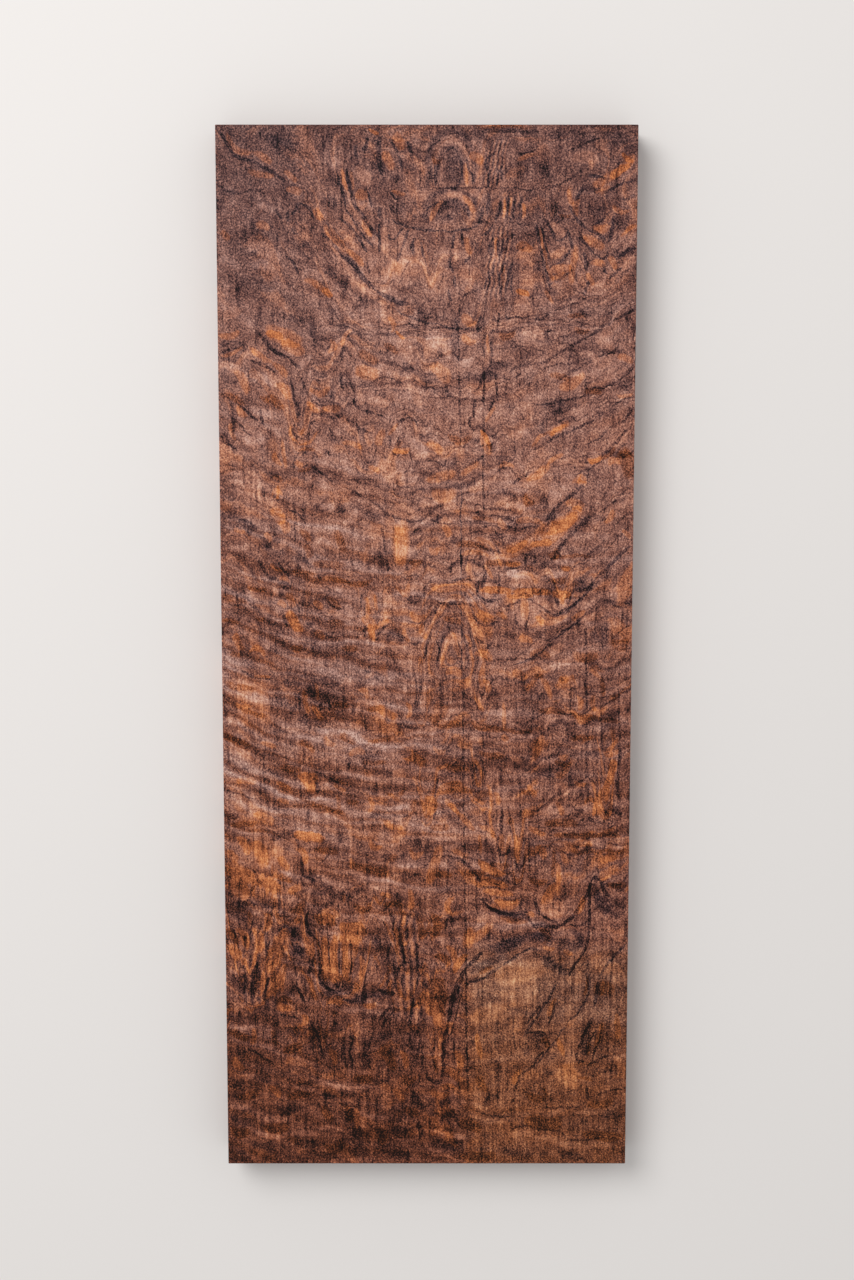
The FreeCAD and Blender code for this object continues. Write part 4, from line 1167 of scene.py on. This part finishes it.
lay(tan, [
    (3.2, -86, -242, -79, -241, -72, -243), (2.2, -59, -224, -54, -225, -49, -223),
    (2.5, -46, -213, -43, -219, -41, -227), (2.2, -8, -207, -7, -216, -7, -223),
    (3.5, -26, -254, -24, -264, -24, -273), (3, -108, -206, -112, -208, -117, -206),
    (3, -56, -246, -58, -250, -63, -249),
])
lay(crest, [
    (1.8, -119, -219, -110, -220, -101, -219), (1.8, -89, -220, -80, -219, -71, -218),
    (1.3, -51, -247, -42, -247.5, -33, -248.5), (1.5, -61, -253, -56, -256, -49, -257),
    (1.4, -51, -257, -42, -257, -33, -258), (1.5, -64, -263, -56, -265, -48, -267),
    (1.6, -61, -281, -56, -282, -49, -283), (1.6, -15, -278, -10, -278, -5, -278),
    (1.5, -19, -290, -12, -291, -5, -290), (2, -118, -250, -110, -251, -102, -249),
    (2, -100, -232, -94, -232, -88, -231), (2.2, -98, -276, -90, -277, -80, -276),
    (2, -119, -269, -112, -270, -104, -268), (2.2, -84, -286, -76, -286, -66, -286),
    (2, -80, -256, -74, -258, -66, -258), (2, -36, -275, -30, -276, -25, -277),
    (2.2, -60, -303, -44, -303, -30, -302), (2.2, -66, -255, -55, -257, -38, -260),
    (1.8, -119, -222, -105, -221, -90, -222), (1.6, -66, -282.5, -54, -283, -42, -285),
    (1.8, -19, -280, -12, -281, -6, -280), (2.2, -104, -285, -94, -288, -80, -287),
])

# The foot, right: the outline's tail, a dark knotty spot with a dark spindle beside it, and pale arcs at
# the end.
lay(amber, [
    (4.6, 4, -204, 7, -212, 7, -221), (1.7, 72, -214, 74, -208, 77, -202),
    (1.7, 105, -217, 103, -226, 101, -233), (2, 52, -256, 53, -251, 56, -246),
    (2.6, 16, -234, 20, -240, 20, -247), (2, 78, -226, 80, -232, 82, -238),
    (2, 113, -212, 114, -220, 114, -228), (2, 30, -224, 31, -232, 32, -240),
    (3, 2, -260, 8, -263, 14, -262),
])
lay(glow, [
    (1.2, 97, -229, 96.5, -234, 96, -238), (3, 3, -208, 6, -213, 6, -219),
])
lay(ink, [
    (1.0, 10, -240, 10, -246, 9.2, -252), (0.7, 23, -192, 19.2, -205, 16.7, -218, 12.5, -228),
    (0.9, 3, -235, 4, -242, 5, -248), (1.8, 0, -252, 5, -254, 10, -253),
    (1.05, 53, -259, 54, -254, 56, -249), (0.95, 57, -249, 61, -246, 65, -243),
    (1.05, 64, -245, 66, -240, 70, -235), (0.95, 60, -219, 63, -213, 68, -206),
    (1.05, 73, -218, 75, -211, 76, -203), (1.2, 100, -214, 94, -224, 91, -234, 90, -239, 95, -242),
    (0.9, 105, -216, 103, -228, 98, -240), (0.8, 101, -222, 97, -231, 95, -239),
    (1, 24, -231, 24, -236, 24, -241), (1.25, 96, -257, 96, -261, 97, -265),
    (0.9, 60, -224, 66, -223, 72, -226),
])
lay(line, [
    (0.8, 23.4, -184, 23.6, -210, 24, -230), (0.8, 24, -228, 24.2, -245, 24, -262),
    (0.9, 96, -246, 100, -241, 105, -240), (0.9, 103, -240, 106, -239, 109, -238),
    (0.7, 52, -212, 52, -224, 53, -236), (0.7, 112, -232, 111, -242, 110, -254),
    (0.8, 28, -272, 40, -275, 52, -276), (0.9, 50, -284, 58, -281.5, 68, -285),
    (0.9, 67, -285, 76, -284, 84, -289), (0.9, 84, -289, 94, -290, 104, -289),
    (0.8, 70, -270, 80, -270, 92, -269), (0.8, 102, -262, 110, -259, 118, -258),
])
lay(shade, [
    (1.6, 42, -214, 41.5, -225, 42, -236), (3.2, 42, -239, 43, -247, 43, -256),
    (6, 59, -225, 66, -228, 72, -231), (2.6, 59, -229, 60, -234, 58, -238),
    (3.2, 71, -236, 75, -238, 78, -236), (2.2, 70, -245, 73, -248, 76, -249),
    (1.8, 76, -226, 74, -224, 73, -222), (3.6, 94, -221, 95, -230, 94, -239),
    (2.4, 33, -286, 35, -287, 37, -288), (3, 15, -258, 20, -256, 26, -258),
    (3, 104, -276, 110, -274, 117, -276), (3, 34, -268, 38, -264, 44, -262),
    (4, 2, -292, 12, -294, 22, -294), (3, 78, -296, 86, -300, 96, -301), (3, 44, -296, 54, -298, 64, -300),
])
lay(rust, [
    (2.6, 67, -229, 71, -229, 73, -233), (1.6, 5, -239, 5, -244, 6, -249),
    (1.2, 90, -252, 96, -252, 100, -253), (1.5, 70, -257, 71, -260, 72, -263),
    (4.2, 19, -279, 26, -281, 33, -284), (3.4, 94, -286, 105, -288, 118, -288),
    (5, 58, -278, 70, -280, 82, -280), (3, 4, -272, 10, -274, 17, -272), (3, 60, -262, 66, -264, 72, -264),
    (3, 96, -268, 104, -268, 112, -266), (3, 30, -250, 33, -256, 36, -260),
    (4, 20, -300, 32, -301, 42, -300),
])
lay(tan, [
    (1.2, 13, -225, 15, -218, 16, -211), (1.8, 8, -227, 7, -235, 8, -246),
    (7, 26, -215, 38, -212, 50, -210), (7, 79, -245, 85, -250, 91, -257),
    (4.2, 59, -248, 63, -250, 67, -251), (4, 83, -206, 86, -214, 84, -220),
    (5, 26, -232, 34, -240, 38, -240), (3, 112, -238, 116, -244, 116, -252),
    (5, 50, -222, 54, -218, 58, -212),
])
lay(crest, [
    (2.2, 33, -207, 36, -207, 39, -206), (1.9, 103, -250, 109, -249, 115, -248),
    (1.7, 111, -239, 115, -238, 119, -237), (1.7, 89, -273, 96, -273, 103, -274),
    (2.4, 48, -288, 58, -286, 67, -290), (2.4, 65, -290, 74, -289, 81, -293),
    (2.7, 79, -293, 88, -294, 97, -295), (2.2, 95, -295, 106, -293, 117, -296),
    (2, 26, -274, 36, -278, 48, -279), (2, 2, -284, 12, -286, 24, -290), (2, 60, -270, 70, -273, 82, -272),
    (2, 18, -266, 26, -268, 34, -271),
])

# Broad parts of the face that are darker or lighter than the wood round them.
lay(dim, [
    (22, -60, -2, -60, -25, -60, -48), (18, -20, -155, -20, -178, -20, -200), (20, 60, 50, 60, 75, 60, 100),
    (18, 60, -103, 60, -126, 60, -148), (16, 20, -52, 20, -75, 20, -98),
    (18, -100, 205, -100, 228, -100, 252), (18, -20, -205, -20, -230, -20, -252),
    (12, -52, -60, -40, -60, -28, -60), (14, 80, -48, 80, -60, 80, -75), (12, 22, -240, 30, -240, 40, -240),
    (16, -60, 2, -60, 25, -60, 46), (12, 60, -5, 60, -25, 60, -46), (16, -60, -6, -60, -25, -60, -44),
    (15, 60, 206, 60, 250, 60, 296), (14, -20, -258, -20, -280, -20, -303),
    (12, -60, -208, -60, -228, -60, -250), (5, 95, -217, 95, -229, 94, -240),
    (5, 62, -228, 68, -229, 76, -229),
])
lay(lift, [
    (18, -100, -254, -100, -278, -100, -302), (14, -112, -162, -110, -175, -108, -188),
    (9, 40, -284, 65, -287, 92, -290), (16, -90, -106, -90, -125, -90, -146),
    (14, -108, -12, -107, -70, -106, -128), (16, 100, 158, 100, 178, 100, 198),
    (13, -102, 62, -102, 100, -102, 142), (11, 44, 32, 58, 28, 76, 24), (14, 78, -212, 82, -235, 88, -262),
    (20, -80, -105, -80, -126, -80, -147), (14, -20, -104, -20, -126, -20, -148),
    (14, -20, 206, -20, 228, -20, 250), (14, 20, 258, 20, 280, 20, 302), (14, 60, 4, 60, 24, 60, 44),
])


def group_of_nodes(name, *more_inputs):
    """A node group that works on the wood's tone and warmth: the group, and its inputs as sockets."""
    inputs = (("Place", "Vector"), ("Tone", "Float"), ("Warmth", "Float"), *more_inputs)
    tree = bpy.data.node_groups.new(name, "ShaderNodeTree")
    for socket_name, kind in inputs:
        tree.interface.new_socket(socket_name, in_out="INPUT", socket_type="NodeSocket" + kind)
    for socket_name in ("Tone", "Warmth"):
        tree.interface.new_socket(socket_name, in_out="OUTPUT", socket_type="NodeSocketFloat")
    entry = tree.nodes.new("NodeGroupInput")
    return tree, [Socket(tree, end) for end in entry.outputs[:len(inputs)]]


def brush():
    """The node group of one stroke: a mask along a bent line, and what it adds to tone and warmth."""
    tree, (here, tone_in, warmth_in, along, across, bow, core, lighten, warm) = group_of_nodes(
        "stroke", ("Along", "Vector"), ("Across", "Vector"), ("Bow", "Float"), ("Core", "Float"),
        ("Lighten", "Float"), ("Warm", "Float"))
    run = here.dot(along)
    side = here.dot(across)
    run_squared = run * run
    bent_side = run_squared.times_plus(bow, side)
    spread = bent_side.times_plus(bent_side, run_squared * run_squared)
    mask = spread.ease(1.0, core)
    leave = tree.nodes.new("NodeGroupOutput")
    tree.links.new(mask.times_plus(lighten, tone_in).end, leave.inputs[0])
    tree.links.new(mask.times_plus(warm, warmth_in).end, leave.inputs[1])
    return tree


stroke_group = brush()

# A mark bites more where the grain is open, so it shows the wood's texture instead of lying flat over it.
bite = streak.ease(0.38, 0.62, 0.80, 1.15) * speckle.ease(0.35, 0.65, 1.15, 0.85)


def stroke(here, stain, mark):
    """Lays one mark on the tone and warmth given: a bent stroke through three points and just past."""
    (firm, lighten, warm), width, start, middle, end = mark
    reach = math.dist(start, end) / 2
    along = ((end[0] - start[0]) / (2 * reach), (end[1] - start[1]) / (2 * reach))
    across = (-along[1], along[0])
    centre = ((start[0] + end[0]) / 2, (start[1] + end[1]) / 2)
    off = (middle[0] - centre[0], middle[1] - centre[1])
    middle_along = (off[0] * along[0] + off[1] * along[1]) / reach
    bow = (off[0] * across[0] + off[1] * across[1]) / (1 - middle_along ** 2)
    centre_along = centre[0] * along[0] + centre[1] * along[1]
    centre_across = centre[0] * across[0] + centre[1] * across[1]
    past_end = 1.08
    first = here.node("ShaderNodeGroup", {"node_tree": stroke_group}, {
        0: here, 1: stain[0], 2: stain[1],
        3: tuple(part / (reach * past_end) for part in (*along, -centre_along)),
        4: (across[0] / width, across[1] / width, -(centre_across + bow) / width),
        5: bow * past_end ** 2 / width, 6: 1 - 1 / firm, 7: lighten, 8: warm})
    return first, Socket(first.tree, first.end.node.outputs[1])


def figured(name, low_x, high_x, low_y, high_y):
    """The tone and warmth in one part of the face, with every mark that reaches into it."""
    tree, (here, *stain) = group_of_nodes(name)
    stray = 1.5
    for mark in marks:
        width, *points = mark[1:]
        room = width + stray
        in_x = max(p[0] for p in points) + room > low_x and min(p[0] for p in points) - room < high_x
        in_y = max(p[1] for p in points) + room > low_y and min(p[1] for p in points) - room < high_y
        if in_x and in_y:
            stain = stroke(here, stain, mark)
    leave = tree.nodes.new("NodeGroupOutput")
    tree.links.new(stain[0].end, leave.inputs[0])
    tree.links.new(stain[1].end, leave.inputs[1])
    laid_tone = place.node("ShaderNodeGroup", {"node_tree": tree}, {0: place, 1: 0.0, 2: 0.0})
    laid_warmth = Socket(wood.tree, laid_tone.end.node.outputs[1])
    return laid_tone.times_plus(bite, tone), laid_warmth.times_plus(bite, warmth)


# Sanded and oiled: a low, uneven satin sheen, and open pores that dent the surface slightly.
satin = 0.44
pore_depth = 0.00012
roughness = speckle.times_plus(0.16, cloud.times_plus(0.12, satin))
dents = wood.node("ShaderNodeBump", None, {"Strength": 0.35, "Distance": pore_depth, "Height": -pores})


def finish(colour):
    """The board's surface in this colour."""
    return wood.node("ShaderNodeBsdfPrincipled", None, {
        "Base Color": colour, "Roughness": roughness, "Specular IOR Level": 0.10, "Normal": dents})


# The calm wood is a little more olive than the rest.
olive = calm * along_board.ease(0.235, 0.195)
tint = wood.node("ShaderNodeCombineXYZ", None, {
    0: 0.995, 1: olive.times_plus(0.06, 1.02), 2: olive.times_plus(-0.06, 1.03)})

# The two browns of the wood, from its darkest tone to its palest.
tones = (0.05, 0.12, 0.22, 0.31, 0.39, 0.48, 0.55, 0.61, 0.75)
mauve_brown = [
    (16, 10, 9), (38, 26, 32), (73, 49, 51), (99, 70, 67), (125, 90, 83),
    (153, 112, 102), (175, 129, 115), (190, 145, 130), (214, 178, 162)]
amber_brown = [
    (20, 10, 6), (52, 25, 15), (92, 47, 28), (121, 63, 38), (151, 82, 50),
    (182, 105, 64), (200, 120, 73), (210, 134, 84), (226, 166, 116)]


def stained(stain):
    """The colour of wood of this tone and warmth, between a mauve brown and an amber one."""
    cool, warm = [
        stain[0].ramp([(tone_here, linear(*colour)) for tone_here, colour in zip(tones, colours)])
        for colours in (mauve_brown, amber_brown)]
    return wood.node("ShaderNodeMix", {"data_type": "RGBA"}, {0: stain[1], 6: cool, 7: warm}, out=2) * tint


# The face is shared out among parts, each with only its own marks, so that a ray works through few of them.
# The outer parts reach well past the board's ends and edges.
place_x, place_y, _ = place.parts()
right_half = place_x > 0.0
past_edge = 200.0
cuts = (400.0, 203.0, 101.5, -1.0, -103.0, -205.0, -400.0)
face = None
for number in reversed(range(len(cuts) - 1)):
    high_y, low_y = cuts[number:number + 2]
    left = finish(stained(figured(f"figure_left_{number + 1}", -past_edge, 0.0, low_y, high_y)))
    right = finish(stained(figured(f"figure_right_{number + 1}", 0.0, past_edge, low_y, high_y)))
    band = wood.node("ShaderNodeMixShader", None, {0: right_half, 1: left, 2: right})
    if face is None:
        face = band
    else:
        face = wood.node("ShaderNodeMixShader", None, {0: place_y > low_y, 1: face, 2: band})

# The cross-cut ends: darker, with growth rings in wide arcs round the tree's heart, pores cut across as
# dots and faint marks of the saw. Their broken edges, 0.3 mm wide, belong to them.
tree_heart = (-60.0, 0.0, 96.0)
end_skin = 0.32
from_heart = (point - tree_heart) * (1.0, 0.0, 1.0)
distance = wood.node("ShaderNodeVectorMath", {"operation": "LENGTH"}, {0: from_heart}, out=1)
uneven = (point * (1 / 22.0, 0.0, 1 / 14.0)).noise(3.0, 0.5)
rings = maths("SINE", uneven.times_plus(14.0, distance * 1.45))
dots = (point * (1 / 0.7, 0.0, 1 / 0.7)).noise(1.0, 0.5).ease(0.58, 0.72)
sawn = maths("SINE", uneven.times_plus(5.0, true_z * 2.9))
end_speckle = (point * (1 / 1.4, 0.0, 1 / 1.4)).noise(2.0, 0.6)
end_tone = end_speckle.times_plus(0.20, rings.times_plus(0.030, 0.17)) + sawn * 0.010
end_tone = dots.times_plus(-0.07, end_tone)
ends = finish(stained((end_tone, rings.times_plus(-0.06, 0.28))))
at_end = abs(true_y) > half_length - end_skin
surface = wood.node("ShaderNodeMixShader", None, {0: at_end, 1: face, 2: ends})
output = walnut.node_tree.nodes["Material Output"]
walnut.node_tree.links.new(surface.end, output.inputs["Surface"])
board.material_slots[0].material = walnut


# The floor: a plain pale sheet, which the board lies flat on. It is a stage and isn't part of the object.

floor_reach = 3.0
floor_mesh = bpy.data.meshes.new("floor")
floor_mesh.from_pydata([(-floor_reach, -floor_reach, 0), (floor_reach, -floor_reach, 0),
                        (floor_reach, floor_reach, 0), (-floor_reach, floor_reach, 0)], [], [(0, 1, 2, 3)])
floor = bpy.data.objects.new("floor", floor_mesh)
scene = bpy.context.scene
scene.collection.objects.link(floor)
pale = bpy.data.materials.new("floor_pale")
pale.use_nodes = True
pale_shader = pale.node_tree.nodes["Principled BSDF"]
pale_shader.inputs["Base Color"].default_value = (*linear(226, 222, 219), 1.0)
pale_shader.inputs["Roughness"].default_value = 0.9
pale_shader.inputs["Specular IOR Level"].default_value = 0.1
floor_mesh.materials.append(pale)


# The studio: an even white surround, and one wide soft lamp above the head of the board on the left.

world = bpy.data.worlds.new("studio")
world.use_nodes = True
world.node_tree.nodes["Background"].inputs["Color"].default_value = (1, 1, 1, 1)
world.node_tree.nodes["Background"].inputs["Strength"].default_value = 0.62
scene.world = world

softbox_data = bpy.data.lights.new("softbox", "AREA")
softbox_data.shape = "DISK"
softbox_data.size = 1.6
softbox_data.energy = 40
softbox = bpy.data.objects.new("softbox", softbox_data)
softbox.location = (-1.1, 1.3, 1.9)
softbox.rotation_euler = (-softbox.location).to_track_quat("-Z", "Y").to_euler()
scene.collection.objects.link(softbox)


# The camera: it looks down on the show face from its middle and leans a little toward the foot. Its place
# and its lean are worked out from where the board's four corners lie in the photograph.

camera_data = bpy.data.cameras.new("camera")
camera_data.lens = 50.0
camera_data.sensor_width = 36.0
camera_data.sensor_fit = "AUTO"
camera_data.clip_start = 0.05
camera = bpy.data.objects.new("camera", camera_data)
show_face = 0.025
above_face = 1.02882
camera.location = (0.00013, 0.12845, show_face + above_face)
camera.rotation_euler = (math.radians(-6.434), 0, 0)
scene.collection.objects.link(camera)
scene.camera = camera
scene.view_settings.view_transform = "Standard"
